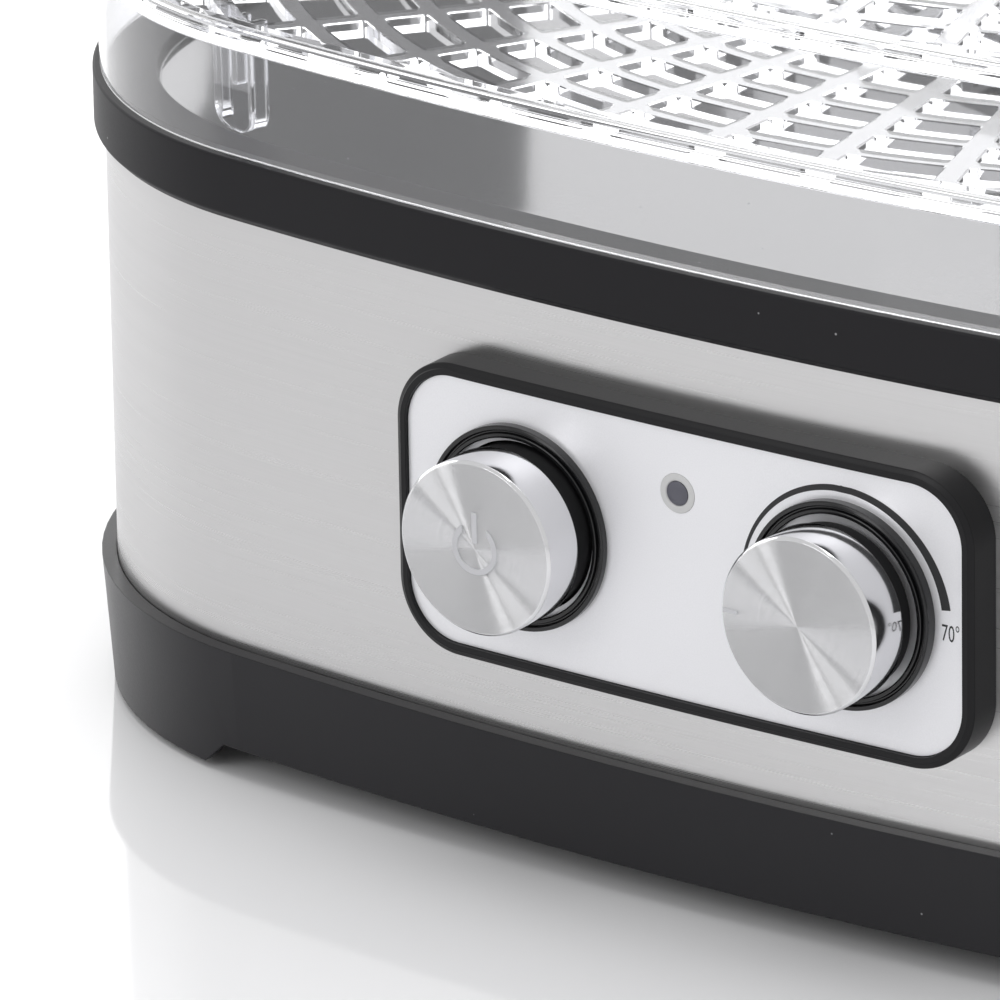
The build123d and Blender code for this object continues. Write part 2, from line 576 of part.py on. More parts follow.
def tray_grid():
    """Slotted floor of a tray, just below its top edge."""
    plate = outline(TRAY_IN - RUN)
    inside = outline(TRAY_IN - GRID_BORDER)
    reach = hypot(BODY_W, BODY_D) / 2
    slots = []
    rings = slot_rings(SLOT_START, reach, SLOT_PITCH, SLOT_BAR, SLOT_LENGTH, SPOKE_BAR, SLOT_COUNT)
    for slot in rings:
        corners = slot.vertices()
        held = [inside.is_inside(Vector(corner)) for corner in corners]
        if all(held):
            slots.append(slot)
        elif any(held):
            pieces = (slot & inside).faces()
            slots += [piece for piece in pieces if piece.area > 25]
    grid = pierced(plate, slots, GRID_T)
    return Pos(0, 0, TRAY_PITCH - GRID_DROP - GRID_T) * grid


def leg_spots():
    """Place and direction of each leg: on the corner arcs, facing the wall."""
    angle = CORNER_START + LEG_TURN
    reach = CORNER_R - LEG_INSET
    x = CORNER[0] + reach * cos(radians(angle))
    y = CORNER[1] + reach * sin(radians(angle))
    turn = angle + 90
    return [(x, y, turn), (-x, y, -turn), (-x, -y, 180 + turn), (x, -y, 180 - turn)]


def tray_legs():
    """Four channel-shaped legs under a tray's grid, with rounded feet."""
    top = TRAY_PITCH - GRID_DROP - GRID_T
    low = -GRID_DROP + FREE
    height = top - low
    face = RectangleRounded(LEG_W, 2 * height, LEG_W / 3) & Pos(0, -height / 2) * Rectangle(LEG_W, height)
    channel = Rot(90, 0, 0) * extrude(face, -LEG_DEPTH)
    channel -= block((-LEG_W / 2 + LEG_T, LEG_W / 2 - LEG_T), (LEG_T, LEG_DEPTH + 1), (-2 * height, 1))
    channel += block((-LEG_T / 2, LEG_T / 2), (LEG_T - 0.5, LEG_DEPTH), (-height * 0.6, 0))
    return [Pos(x, y, top) * Rot(0, 0, turn) * channel for x, y, turn in leg_spots()]


def lid():
    """Clear lid: wall like a tray's, and a vented plate with a raised middle."""
    top = LID_WALL_H + LID_PLATE_T
    plate = slab(TRAY_GROW, LID_WALL_H, top)
    rise = TRAY_GROW - LID_RISE_INSET
    plate += slab(rise, top - 0.5, top + LID_RISE)
    plate -= slab(rise - LID_PLATE_T, LID_WALL_H - 1, top + LID_RISE - LID_PLATE_T)
    vents = [extrude(slot, 40, both=True) for slot in slot_rings(14, 48, 11, 5, 26, 5, 8)]
    return {"lid_wall": ring(TRAY_GROW, TRAY_IN, 0, LID_WALL_H), "lid_plate": plate - vents}


# ---------------------------------------------------------------- the whole object
def all_pieces():
    """Every piece in place, by node name."""
    pieces = {
        "base_housing": base_housing(), "steel_band": steel_band(), "top_deck": top_deck(),
        "air_grille": air_grille(), "intake_grille": intake_grille(), "rubber_pads": rubber_pads(),
        "housing_screws": housing_screws(), "grille_screws": grille_screws(), "rating_plate": rating_plate(),
        "control_bezel": control_bezel(), "control_panel": control_panel(), "knob_rings": knob_rings(),
        "bracket_screws": bracket_screws(),
        **power_button(), **thermostat_knob(), **control_parts(), **fan_drive(), **heater(), **mains_parts(),
    }
    skirt, grid, legs = tray_skirt(), tray_grid(), tray_legs()
    for number in range(1, TRAY_COUNT + 1):
        lift = Pos(0, 0, RIM_TOP + 0.1 + (number - 1) * TRAY_PITCH)
        pieces[f"tray_{number}_skirt"] = lift * skirt
        pieces[f"tray_{number}_grid"] = lift * grid
        pieces[f"tray_{number}_legs"] = [lift * leg for leg in legs]
    lift = Pos(0, 0, RIM_TOP + 0.1 + TRAY_COUNT * TRAY_PITCH)
    pieces.update({name: lift * shape for name, shape in lid().items()})
    return pieces


def write_pieces():
    """Writes one STEP file per piece, shifted so that the origin is under the middle of the object."""
    os.makedirs("parts", exist_ok=True)
    for name, shape in all_pieces().items():
        solids = shape if isinstance(shape, list) else [shape]
        solids = [Pos(0, BODY_Y, 0) * solid for group in solids for solid in group.solids()]
        export_step(solids[0] if len(solids) == 1 else Compound(children=solids), f"parts/{name}.step")


write_pieces()
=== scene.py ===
"""Food dehydrator: a fan-heated base with two metal knobs, five clear stacking trays and a clear lid."""
import logging
import math
from dataclasses import dataclass, field
from enum import Enum
from typing import Any, Callable, ClassVar, Optional, Sequence, Union

import bmesh
import bpy
import numpy as np
from mathutils import Matrix, Vector
from mathutils.geometry import delaunay_2d_cdt


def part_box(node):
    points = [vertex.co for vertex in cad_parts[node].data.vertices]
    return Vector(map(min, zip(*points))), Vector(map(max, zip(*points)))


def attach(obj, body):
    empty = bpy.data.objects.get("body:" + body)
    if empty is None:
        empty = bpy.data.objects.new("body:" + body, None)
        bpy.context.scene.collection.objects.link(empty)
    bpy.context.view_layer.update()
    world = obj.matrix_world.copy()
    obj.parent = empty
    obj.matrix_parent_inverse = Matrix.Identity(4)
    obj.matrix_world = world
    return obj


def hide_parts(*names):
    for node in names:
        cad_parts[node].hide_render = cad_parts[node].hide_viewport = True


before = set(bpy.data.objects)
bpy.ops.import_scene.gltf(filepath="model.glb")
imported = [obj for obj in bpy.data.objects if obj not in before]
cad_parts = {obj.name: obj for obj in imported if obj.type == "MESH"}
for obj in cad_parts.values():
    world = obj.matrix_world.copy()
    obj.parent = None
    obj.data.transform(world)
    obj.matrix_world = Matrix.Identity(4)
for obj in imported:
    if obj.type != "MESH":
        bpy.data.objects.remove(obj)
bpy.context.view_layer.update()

LOG = logging.getLogger("dehydrator")
MM = 0.001
Colour = tuple[float, float, float]


# ---------------------------------------------------------------- surfaces worked out as arrays
@dataclass(frozen=True)
class Patch:
    """Part of a mesh: points (n, 3), four-sided faces (q, 4) and three-sided faces (t, 3)."""

    points: np.ndarray
    quads: np.ndarray = field(default_factory=lambda: np.zeros((0, 4), int))
    tris: np.ndarray = field(default_factory=lambda: np.zeros((0, 3), int))

    def moved(self, change: Callable[[np.ndarray], np.ndarray]) -> "Patch":
        """The same faces on points that went through a function of the whole array."""
        return Patch(change(self.points), self.quads, self.tris)


def joined(patches: Sequence[Patch]) -> Patch:
    """Puts patches in one mesh.

    Args:
        patches: The parts, in any order.
    Returns:
        One patch with each part's faces renumbered past the points before it.
    """
    starts = np.cumsum([0] + [len(patch.points) for patch in patches[:-1]])
    return Patch(np.vstack([patch.points for patch in patches]),
                 np.vstack([patch.quads + start for patch, start in zip(patches, starts)]),
                 np.vstack([patch.tris + start for patch, start in zip(patches, starts)]))


def grid_faces(rows: int, columns: int, close_rows: bool, close_columns: bool) -> np.ndarray:
    """Faces of a grid whose point (i, j) has number i * columns + j.

    Args:
        rows: Points along the first parameter.
        columns: Points along the second parameter.
        close_rows: Whether the last row joins the first.
        close_columns: Whether the last column joins the first.
    Returns:
        Array (faces, 4), turning from the first parameter towards the second.
    """
    i = np.arange(rows if close_rows else rows - 1)[:, None]
    j = np.arange(columns if close_columns else columns - 1)[None, :]
    i_next, j_next = (i + 1) % rows, (j + 1) % columns
    corners = (i * columns + j, i_next * columns + j, i_next * columns + j_next, i * columns + j_next)
    return np.stack([np.broadcast_to(c, (i.size, j.size)) for c in corners], -1).reshape(-1, 4)


@dataclass(frozen=True)
class Loop:
    """Closed line in a plane, counter-clockwise: points (n, 2) and outward unit normals (n, 2)."""

    points: np.ndarray
    normals: np.ndarray

    def grown(self, amount: float) -> np.ndarray:
        """Points moved outwards along their normals."""
        return self.points + amount * self.normals


def arc_loop(arcs: Sequence[tuple[tuple[float, float], float, float, float]], step: float) -> Loop:
    """Closed line of arcs end to end; a point is centre + radius (cos a, sin a), its normal (cos a, sin a).

    Args:
        arcs: (centre, radius, first angle, turn) of each arc, in radians, each starting where the last ended.
        step: Longest distance between two points along an arc.
    Returns:
        The loop; straight joins between arcs need no points of their own.
    """
    points, normals = [], []
    for centre, radius, first, turn in arcs:
        count = max(2, math.ceil(radius * turn / step))
        angle = first + turn * np.arange(count + 1) / count
        normal = np.stack([np.cos(angle), np.sin(angle)], -1)
        points.append(np.array(centre) + radius * normal)
        normals.append(normal)
    points, normals = np.vstack(points), np.vstack(normals)
    keep = np.linalg.norm(points - np.roll(points, 1, 0), axis=1) > 1e-7
    return Loop(points[keep], normals[keep])


def circle(radius: float, count: int, centre: tuple[float, float] = (0.0, 0.0)) -> Loop:
    """Circle as a loop: point = centre + radius (cos a, sin a) at equal steps of a."""
    angle = 2 * math.pi * np.arange(count) / count
    normal = np.stack([np.cos(angle), np.sin(angle)], -1)
    return Loop(np.array(centre) + radius * normal, normal)


def rounded_rectangle(half_w: float, half_h: float, corner: float, step: float) -> Loop:
    """Rectangle with quarter circles at its corners, its long sides cut into steps as well."""
    x, y, quarter = half_w - corner, half_h - corner, math.pi / 2
    centres = [(x, y), (-x, y), (-x, -y), (x, -y)]
    arcs = [(centre, corner, number * quarter, quarter) for number, centre in enumerate(centres)]
    corners = arc_loop(arcs, step)
    ends = np.roll(corners.points, -1, 0)
    gaps = np.linalg.norm(ends - corners.points, axis=1)
    points, normals = [], []
    for start, end, normal, gap in zip(corners.points, ends, corners.normals, gaps):
        count = max(1, math.ceil(gap / (3 * step)))
        share = np.arange(count)[:, None] / count
        points.append(start + (end - start) * share)
        normals.append(np.repeat(normal[None], len(share), 0))
    return Loop(np.vstack(points), np.vstack(normals))


def rounded_line(corners: Sequence[tuple[float, float, float]], closed: bool = True,
                 steps: int = 4) -> np.ndarray:
    """Line through corners, each rounded by an arc tangent to its two sides.

    Args:
        corners: (u, v, radius) of each corner; a radius of 0 leaves it sharp.
        closed: Whether the last corner joins the first.
        steps: Steps in each arc.
    Returns:
        Array (n, 2); an arc's points turn evenly from one tangent point to the other about its centre.
    """
    places = np.array([corner[:2] for corner in corners], float)
    line = []
    for number, (place, corner) in enumerate(zip(places, corners)):
        ends = not closed and number in (0, len(places) - 1)
        if corner[2] <= 0 or ends:
            line.append(place[None])
            continue
        back, ahead = places[number - 1] - place, places[(number + 1) % len(places)] - place
        back_length, ahead_length = np.linalg.norm(back), np.linalg.norm(ahead)
        back, ahead = back / back_length, ahead / ahead_length
        half = 0.5 * math.acos(float(np.clip(back @ ahead, -1, 1)))
        reach = min(corner[2] / math.tan(half), 0.49 * back_length, 0.49 * ahead_length)
        radius = reach * math.tan(half)
        centre = place + (back + ahead) / np.linalg.norm(back + ahead) * radius / math.sin(half)
        turn = math.pi - 2 * half
        share = np.linspace(0, 1, steps + 1)[:, None]
        start, end = place + back * reach - centre, place + ahead * reach - centre
        arc = np.sin((1 - share) * turn) * start + np.sin(share * turn) * end
        line.append(centre + arc / math.sin(turn))
    return np.vstack(line)


def swept(loop: Loop, profile: np.ndarray, closed: bool = True) -> Patch:
    """Profile carried round a loop: P(i, j) = (point i + offset j * normal i, height j).

    Args:
        loop: The path, counter-clockwise.
        profile: (offset, height) points; going up makes a surface that faces outwards.
        closed: Whether the profile's last point joins its first.
    Returns:
        The surface.
    """
    flat = loop.points[:, None, :] + profile[None, :, 0, None] * loop.normals[:, None, :]
    height = np.broadcast_to(profile[None, :, 1, None], flat.shape[:2] + (1,))
    points = np.concatenate([flat, height], -1).reshape(-1, 3)
    return Patch(points, grid_faces(len(loop.points), len(profile), True, closed))


def turned(corners: Sequence[tuple[float, float, float]], count: int = 96, closed: bool = False,
           centre: tuple[float, float] = (0.0, 0.0), steps: int = 4) -> Patch:
    """Surface of revolution about an upright axis, from rounded (radius, height, rounding) corners."""
    return swept(circle(0.0, count, centre), rounded_line(corners, closed, steps), closed)


def shrunk(line: np.ndarray, amount: float) -> np.ndarray:
    """Convex closed line drawn in towards its centre by about the given amount, by a scaling."""
    centre = line.mean(0)
    return centre + (line - centre) * (1 - 2 * amount / math.sqrt(area(line)))


def stacked(lines: Sequence[np.ndarray], heights: Sequence[float]) -> Patch:
    """Surface through closed lines of equal point count at heights: P(i, j) = (line j point i, height j)."""
    lines = np.stack(lines, 1)
    height = np.broadcast_to(np.array(heights)[None, :, None], lines.shape[:2] + (1,))
    points = np.concatenate([lines, height], -1).reshape(-1, 3)
    return Patch(points, grid_faces(*lines.shape[:2], True, False))


def sheet_with_holes(border: np.ndarray, holes: Sequence[np.ndarray], height: float, upwards: bool) -> Patch:
    """Flat sheet inside a border and outside its holes, as constrained triangles.

    Args:
        border: Closed line (n, 2).
        holes: Closed lines inside it.
        height: Height of the sheet.
        upwards: Whether it faces up.
    Returns:
        The sheet; a triangle stays if the border is the only line round it.
    """
    lines = [border, *holes]
    starts = np.cumsum([0] + [len(line) for line in lines])
    faces = [list(range(start, end)) for start, end in zip(starts[:-1], starts[1:])]
    flat = np.vstack(lines)
    found = delaunay_2d_cdt(flat.tolist(), [], faces, 1, 1e-9)
    points = np.array([tuple(point) for point in found[0]])
    tris = np.array([face for face, inside in zip(found[2], found[5]) if len(inside) == 1])
    points = np.column_stack([points, np.full(len(points), height)])
    tris = tris.reshape(-1, 3)
    return Patch(points, tris=tris if upwards else tris[:, ::-1])


def plate(border: np.ndarray, holes: Sequence[np.ndarray], low: float, high: float, edge: float = 0.0,
          draft: float = 0.0, sides: bool = True) -> Patch:
    """Plate with holes whose walls lean in towards the underside, and whose upper edges are broken.

    Args:
        border: Outer line, counter-clockwise.
        holes: Hole lines, counter-clockwise.
        low: Height of the underside.
        high: Height of the top.
        edge: Width of the broken edge round each hole's top.
        draft: How much smaller a hole is at the underside, on each side.
        sides: Whether the plate has its own outer wall.
    Returns:
        The closed plate, or the plate without its outer wall.
    """
    tops = [shrunk(hole, -edge) for hole in holes]
    lows = [shrunk(hole, draft) for hole in holes]
    parts = [sheet_with_holes(border, tops, high, True), sheet_with_holes(border, lows, low, False)]
    heights = [high, high - edge, low] if edge else [high, low]
    for top, middle, bottom in zip(tops, holes, lows):
        parts.append(stacked([top, middle, bottom] if edge else [top, bottom], heights))
    if sides:
        parts.append(stacked([border, border], [low, high]))
    return joined(parts)


def clipped(line: np.ndarray, place: np.ndarray, normal: np.ndarray) -> np.ndarray:
    """Part of a convex closed line on the inner side of a straight cut.

    Args:
        line: The closed line.
        place: A point of the cut.
        normal: The cut's normal, towards what is taken away.
    Returns:
        The points that stay, with a new one wherever a side crosses the cut.
    """
    height = (line - place) @ normal
    ahead, ahead_height = np.roll(line, -1, 0), np.roll(height, -1)
    crosses = (height < 0) != (ahead_height < 0)
    share = np.where(crosses, height / np.where(crosses, height - ahead_height, 1), 0)[:, None]
    both = np.stack([line, line + (ahead - line) * share], 1)
    return both[np.stack([height < 0, crosses], 1)]


def area(line: np.ndarray) -> float:
    """Area inside a closed line, by the shoelace formula."""
    ahead = np.roll(line, -1, 0)
    return 0.5 * abs(float((line[:, 0] * ahead[:, 1] - line[:, 1] * ahead[:, 0]).sum()))


@dataclass(frozen=True)
class SlotRings:
    """Concentric rings of slots between straight spokes, in metres."""

    first: float
    pitch: float
    bar: float
    spoke: float
    longest: float
    count: int
    rounding: float
    smallest: float = 30e-6

    def lines(self, last: float, border: Optional[Loop] = None) -> list[np.ndarray]:
        """Outlines of the slots, each a ring sector with rounded corners, cut where the border crosses it.

        Args:
            last: Outermost radius.
            border: Convex line that the slots stay inside.
        Returns:
            Closed counter-clockwise lines.
        """
        found, inner, count = [], self.first, self.count
        while inner + self.pitch - self.bar <= last:
            outer, middle = inner + self.pitch - self.bar, inner + (self.pitch - self.bar) / 2
            while 2 * math.pi * middle / count > self.longest:
                count *= 2
            half = math.pi / count - self.spoke / middle / 2
            angle = np.array([-half, -half / 3, half / 3, half, half, half / 3, -half / 3, -half])
            radius = np.repeat([outer, inner], 4)
            middles = 2 * math.pi * (np.arange(count) + 0.5) / count - math.pi / 2
            turned_by = middles[:, None] + angle[None, :]
            sectors = np.stack([radius * np.cos(turned_by), radius * np.sin(turned_by)], -1)
            found += [self.fitted(sector, border) for sector in sectors]
            inner += self.pitch
        return [self.rounded(line) for line in found if line is not None and area(line) > self.smallest]

    def fitted(self, sector: np.ndarray, border: Optional[Loop]) -> Optional[np.ndarray]:
        """The sector, cut by the border's tangents at the points where its corners stand furthest out."""
        if border is None:
            return sector
        out = ((sector[:, None, :] - border.points[None]) * border.normals[None]).sum(-1)
        if out.max() <= 0:
            return sector
        if (out.max(1) > 0).all():
            return None
        for index in np.unique(out.argmax(1)[out.max(1) > 0]):
            sector = clipped(sector, border.points[index], border.normals[index])
            if len(sector) < 3:
                return None
        return sector

    def rounded(self, line: np.ndarray) -> np.ndarray:
        """The line with its real corners rounded; nearly straight joins stay as they are."""
        line = line[np.linalg.norm(line - np.roll(line, 1, 0), axis=1) > 0.2 * MM]
        back, ahead = line - np.roll(line, 1, 0), np.roll(line, -1, 0) - line
        lengths = np.linalg.norm(back, axis=1) * np.linalg.norm(ahead, axis=1)
        bend = (back * ahead).sum(1) / np.maximum(lengths, 1e-12)
        radii = np.where(bend < 0.9, self.rounding, 0.0)
        return rounded_line([(*point, radius) for point, radius in zip(line, radii)], True, 2)


# ---------------------------------------------------------------- meshes and objects
def make_piece(name: str, patch: Patch, material: bpy.types.Material, body: str,
               replaces: Sequence[str] = (), sharp: float = 32.0, mirrored: bool = True) -> bpy.types.Object:
    """Makes a finished piece that rides on a body.

    Args:
        name: The piece's name.
        patch: Its surface, in frame coordinates.
        material: Its finish.
        body: The CAD body it moves with.
        replaces: CAD nodes that it stands for.
        sharp: Angle in degrees above which an edge stays sharp.
        mirrored: Whether other surfaces reflect it.
    Returns:
        The object.
    """
    mesh = bpy.data.meshes.new(name)
    fill_mesh(mesh, patch)
    merge_points(mesh)
    mesh.shade_smooth()
    mesh.set_sharp_from_angle(angle=math.radians(sharp))
    mesh.materials.append(material)
    piece = bpy.data.objects.new(name, mesh)
    bpy.context.scene.collection.objects.link(piece)
    weighted = piece.modifiers.new("Even faces", "WEIGHTED_NORMAL")
    weighted.keep_sharp = True
    piece.visible_glossy = mirrored
    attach(piece, body)
    if replaces:
        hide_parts(*replaces)
    LOG.info("%s: %d faces on %s", name, len(mesh.polygons), body)
    return piece


def fill_mesh(mesh: bpy.types.Mesh, patch: Patch) -> None:
    """Puts a patch's arrays into a mesh."""
    corners = np.concatenate([patch.quads.ravel(), patch.tris.ravel()]).astype(np.int32)
    sizes = np.concatenate([np.full(len(patch.quads), 4), np.full(len(patch.tris), 3)])
    mesh.vertices.add(len(patch.points))
    mesh.vertices.foreach_set("co", patch.points.astype(np.float32).ravel())
    mesh.loops.add(len(corners))
    mesh.loops.foreach_set("vertex_index", corners)
    mesh.polygons.add(len(sizes))
    mesh.polygons.foreach_set("loop_start", np.concatenate([[0], np.cumsum(sizes)[:-1]]).astype(np.int32))
    mesh.update(calc_edges=True)


def merge_points(mesh: bpy.types.Mesh) -> None:
    """Makes coinciding points one, which closes seams and poles."""
    work = bmesh.new()
    work.from_mesh(mesh)
    bmesh.ops.remove_doubles(work, verts=work.verts, dist=2e-7)
    bmesh.ops.dissolve_degenerate(work, edges=work.edges, dist=1e-8)
    work.to_mesh(mesh)
    work.free()


def dress(material: bpy.types.Material, *nodes: str) -> None:
    """Gives CAD nodes a finish in every material slot."""
    for node in nodes:
        for index in range(max(1, len(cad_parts[node].material_slots))):
            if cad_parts[node].material_slots:
                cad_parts[node].material_slots[index].material = material
            else:
                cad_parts[node].data.materials.append(material)
        LOG.info("%s: dressed in %s", node, material.name)


# ---------------------------------------------------------------- shader arithmetic
Number = Union[float, int, "Value"]


class Value:
    """A socket's value that takes part in arithmetic; each operation adds one Math node."""

    def __init__(self, graph: "Graph", socket: bpy.types.NodeSocket) -> None:
        """Wraps an output socket of a graph."""
        self.graph, self.socket = graph, socket

    def __add__(self, other: Number) -> "Value":
        """Sum."""
        return self.graph.maths("ADD", self, other)

    __radd__ = __add__

    def __sub__(self, other: Number) -> "Value":
        """Difference."""
        return self.graph.maths("SUBTRACT", self, other)

    def __rsub__(self, other: Number) -> "Value":
        """Difference, with the value on the right."""
        return self.graph.maths("SUBTRACT", other, self)

    def __mul__(self, other: Number) -> "Value":
        """Product."""
        return self.graph.maths("MULTIPLY", self, other)

    __rmul__ = __mul__

    def __truediv__(self, other: Number) -> "Value":
        """Quotient."""
        return self.graph.maths("DIVIDE", self, other)

    def __pow__(self, other: Number) -> "Value":
        """Power."""
        return self.graph.maths("POWER", self, other)

    def above(self, edge: float, width: float) -> "Value":
        """0 below the edge, 1 above it, with a smooth step of the given width between."""
        step = self.graph.node("ShaderNodeMapRange", {"interpolation_type": "SMOOTHSTEP"},
                               {"Value": self, "From Min": edge - width / 2, "From Max": edge + width / 2})
        return Value(self.graph, step.outputs[0])


class Graph:
    """A material's node graph."""

    def __init__(self, name: str) -> None:
        """Starts an empty material."""
        self.material = bpy.data.materials.new(name)
        self.material.use_nodes = True
        self.tree = self.material.node_tree
        self.tree.nodes.clear()

    def node(self, kind: str, settings: Optional[dict[str, Any]] = None,
             inputs: Optional[dict[Union[str, int], Any]] = None) -> bpy.types.Node:
        """Adds a node.

        Args:
            kind: The node's type.
            settings: Its own settings, set first.
            inputs: Socket values or links, by name or number.
        Returns:
            The node.
        """
        node = self.tree.nodes.new(kind)
        for key, setting in (settings or {}).items():
            setattr(node, key, setting)
        for key, value in (inputs or {}).items():
            if isinstance(value, Value):
                value = value.socket
            if isinstance(value, bpy.types.NodeSocket):
                self.tree.links.new(value, node.inputs[key])
            else:
                node.inputs[key].default_value = value
        return node

    def maths(self, operation: str, first: Number, second: Number = 0.0) -> Value:
        """One Math node."""
        node = self.node("ShaderNodeMath", {"operation": operation}, {0: first, 1: second})
        return Value(self, node.outputs[0])

    def place(self, centre: Sequence[float] = (0, 0, 0),
              scale: Sequence[float] = (1, 1, 1)) -> bpy.types.NodeSocket:
        """Object coordinates about a centre, scaled afterwards."""
        source = self.node("ShaderNodeTexCoord").outputs["Object"]
        shift = tuple(-c * s for c, s in zip(centre, scale))
        inputs = {"Vector": source, "Location": shift, "Scale": scale}
        return self.node("ShaderNodeMapping", {}, inputs).outputs[0]

    def noise(self, vector: bpy.types.NodeSocket, scale: float, detail: float = 3.0,
              rough: float = 0.5) -> Value:
        """Fractal noise between 0 and 1."""
        node = self.node("ShaderNodeTexNoise", {}, {"Vector": vector, "Scale": scale, "Detail": detail,
                                                    "Roughness": rough})
        return Value(self, node.outputs[0])

    def specks(self, vector: bpy.types.NodeSocket, scale: float, size: float, chosen: float) -> Value:
        """Dust: a round speck in some of the cells of a cell pattern.

        Args:
            vector: Where the pattern lies.
            scale: Cells per metre.
            size: A speck's radius, as a share of a cell.
            chosen: Share of the cells that have none.
        Returns:
            1 on a speck and 0 between.
        """
        cells = self.node("ShaderNodeTexVoronoi", {}, {"Vector": vector, "Scale": scale})
        pick = Value(self, self.node("ShaderNodeSeparateColor", {}, {0: cells.outputs["Color"]}).outputs[0])
        return (1 - Value(self, cells.outputs["Distance"]).above(size, 0.03)) * pick.above(chosen, 0.05)

    def blend(self, share: Number, first: Any, second: Any) -> bpy.types.NodeSocket:
        """Mix of two colours."""
        first, second = ((*c, 1.0) if isinstance(c, tuple) else c for c in (first, second))
        return self.node("ShaderNodeMix", {"data_type": "RGBA"}, {0: share, 6: first, 7: second}).outputs[2]

    def bump(self, height: Number, distance: float, strength: float = 1.0,
             under: Optional[bpy.types.NodeSocket] = None) -> bpy.types.NodeSocket:
        """Normal from a height; distance is the height in metres at 1."""
        inputs = {"Height": height, "Distance": distance, "Strength": strength}
        if under is not None:
            inputs["Normal"] = under
        return self.node("ShaderNodeBump", {}, inputs).outputs[0]

    def soft_edges(self, radius: float) -> bpy.types.NodeSocket:
        """Normal that rounds sharp edges over a small radius."""
        return self.node("ShaderNodeBevel", {"samples": 4}, {"Radius": radius}).outputs[0]

    def finished(self, shader: bpy.types.NodeSocket) -> bpy.types.Material:
        """Links the surface and returns the material."""
        self.node("ShaderNodeOutputMaterial", {}, {"Surface": shader})
        return self.material

    def principled(self, inputs: dict[str, Any]) -> bpy.types.Material:
        """Material with one Principled shader."""
        return self.finished(self.node("ShaderNodeBsdfPrincipled", {}, inputs).outputs[0])


def shaded(tone: Colour, factor: float) -> Colour:
    """The colour times a factor, no channel above 1."""
    return tuple(min(1.0, factor * channel) for channel in tone)


class Sheen(Enum):
    """Roughness of a moulded surface."""

    GLOSS = 0.16
    SATIN = 0.34
    MATT = 0.52
    DULL = 0.7


@dataclass(frozen=True)
class Moulded:
    """Moulded plastic or rubber: fine spark-eroded grain, uneven sheen and a little dust."""

    name: str
    tone: Colour
    sheen: Sheen = Sheen.SATIN
    grain: float = 0.02
    grain_size: float = 0.5
    dust: float = 0.0
    specular: float = 0.5
    edge: float = 0.0

    def material(self) -> bpy.types.Material:
        """Builds the finish."""
        graph = Graph(self.name)
        place = graph.place()
        broad = graph.noise(place, 14, 2)
        fine = graph.noise(place, 1000 / self.grain_size, 2, 0.6)
        colour = graph.blend(broad, shaded(self.tone, 0.82), self.tone)
        if self.dust:
            speck = graph.specks(place, 150.0, 0.035, 0.7)
            colour = graph.blend(speck * self.dust, colour, (0.55, 0.55, 0.57))
        under = graph.soft_edges(self.edge * MM) if self.edge else None
        return graph.principled({
            "Base Color": colour, "Roughness": self.sheen.value + (fine - 0.5) * 0.1 + (broad - 0.5) * 0.12,
            "Specular IOR Level": self.specular, "Normal": graph.bump(fine, self.grain * MM, 0.6, under)})


@dataclass(frozen=True)
class DeckPlastic:
    """Black moulding, satin on the rim and the ledge and polished on the deck's floor."""

    LAYER: ClassVar[str] = "deck_floor"
    name: str
    tone: Colour = (0.02, 0.0195, 0.0215)

    def material(self) -> bpy.types.Material:
        """Builds the finish; the polish follows a layer stored on the mesh."""
        graph = Graph(self.name)
        place = graph.place()
        broad, fine = graph.noise(place, 14, 2), graph.noise(place, 2200, 2, 0.6)
        layer = graph.node("ShaderNodeAttribute", {"attribute_name": self.LAYER})
        polish = Value(graph, layer.outputs["Fac"])
        speck = graph.specks(place, 170.0, 0.04, 0.55)
        clean = graph.blend(broad, shaded(self.tone, 0.85), self.tone)
        colour = graph.blend(speck * 0.6, clean, (0.5, 0.5, 0.52))
        return graph.principled({
            "Base Color": colour, "Roughness": 0.42 + (fine - 0.5) * 0.1 + (broad - 0.5) * 0.08,
            "Specular IOR Level": 0.1, "Coat Weight": polish * (1 - speck), "Coat Roughness": 0.012,
            "Coat IOR": 1.6, "Normal": graph.bump(fine, 0.012 * MM, 0.5)})


@dataclass(frozen=True)
class BrushedSteel:
    """Sheet steel brushed along the band: long fine scratches that spread reflections up and down."""

    name: str
    tone: Colour = (0.62, 0.615, 0.615)
    roughness: float = 0.3
    anisotropy: float = 0.75

    def material(self) -> bpy.types.Material:
        """Builds the finish."""
        graph = Graph(self.name)
        scratches = graph.noise(graph.place(scale=(14, 14, 5200)), 1.0, 3, 0.65)
        streaks = graph.noise(graph.place(scale=(5, 5, 900)), 1.0, 2, 0.5)
        cloud = graph.noise(graph.place(), 9, 2)
        colour = graph.blend(scratches, shaded(self.tone, 0.93), shaded(self.tone, 1.05))
        roughness = self.roughness + (scratches - 0.5) * 0.16 + (streaks - 0.5) * 0.1 + (cloud - 0.5) * 0.06
        return graph.principled({
            "Base Color": colour, "Metallic": 1.0, "Roughness": roughness, "Anisotropic": self.anisotropy,
            "Normal": graph.bump(scratches, 0.006 * MM, 0.5)})


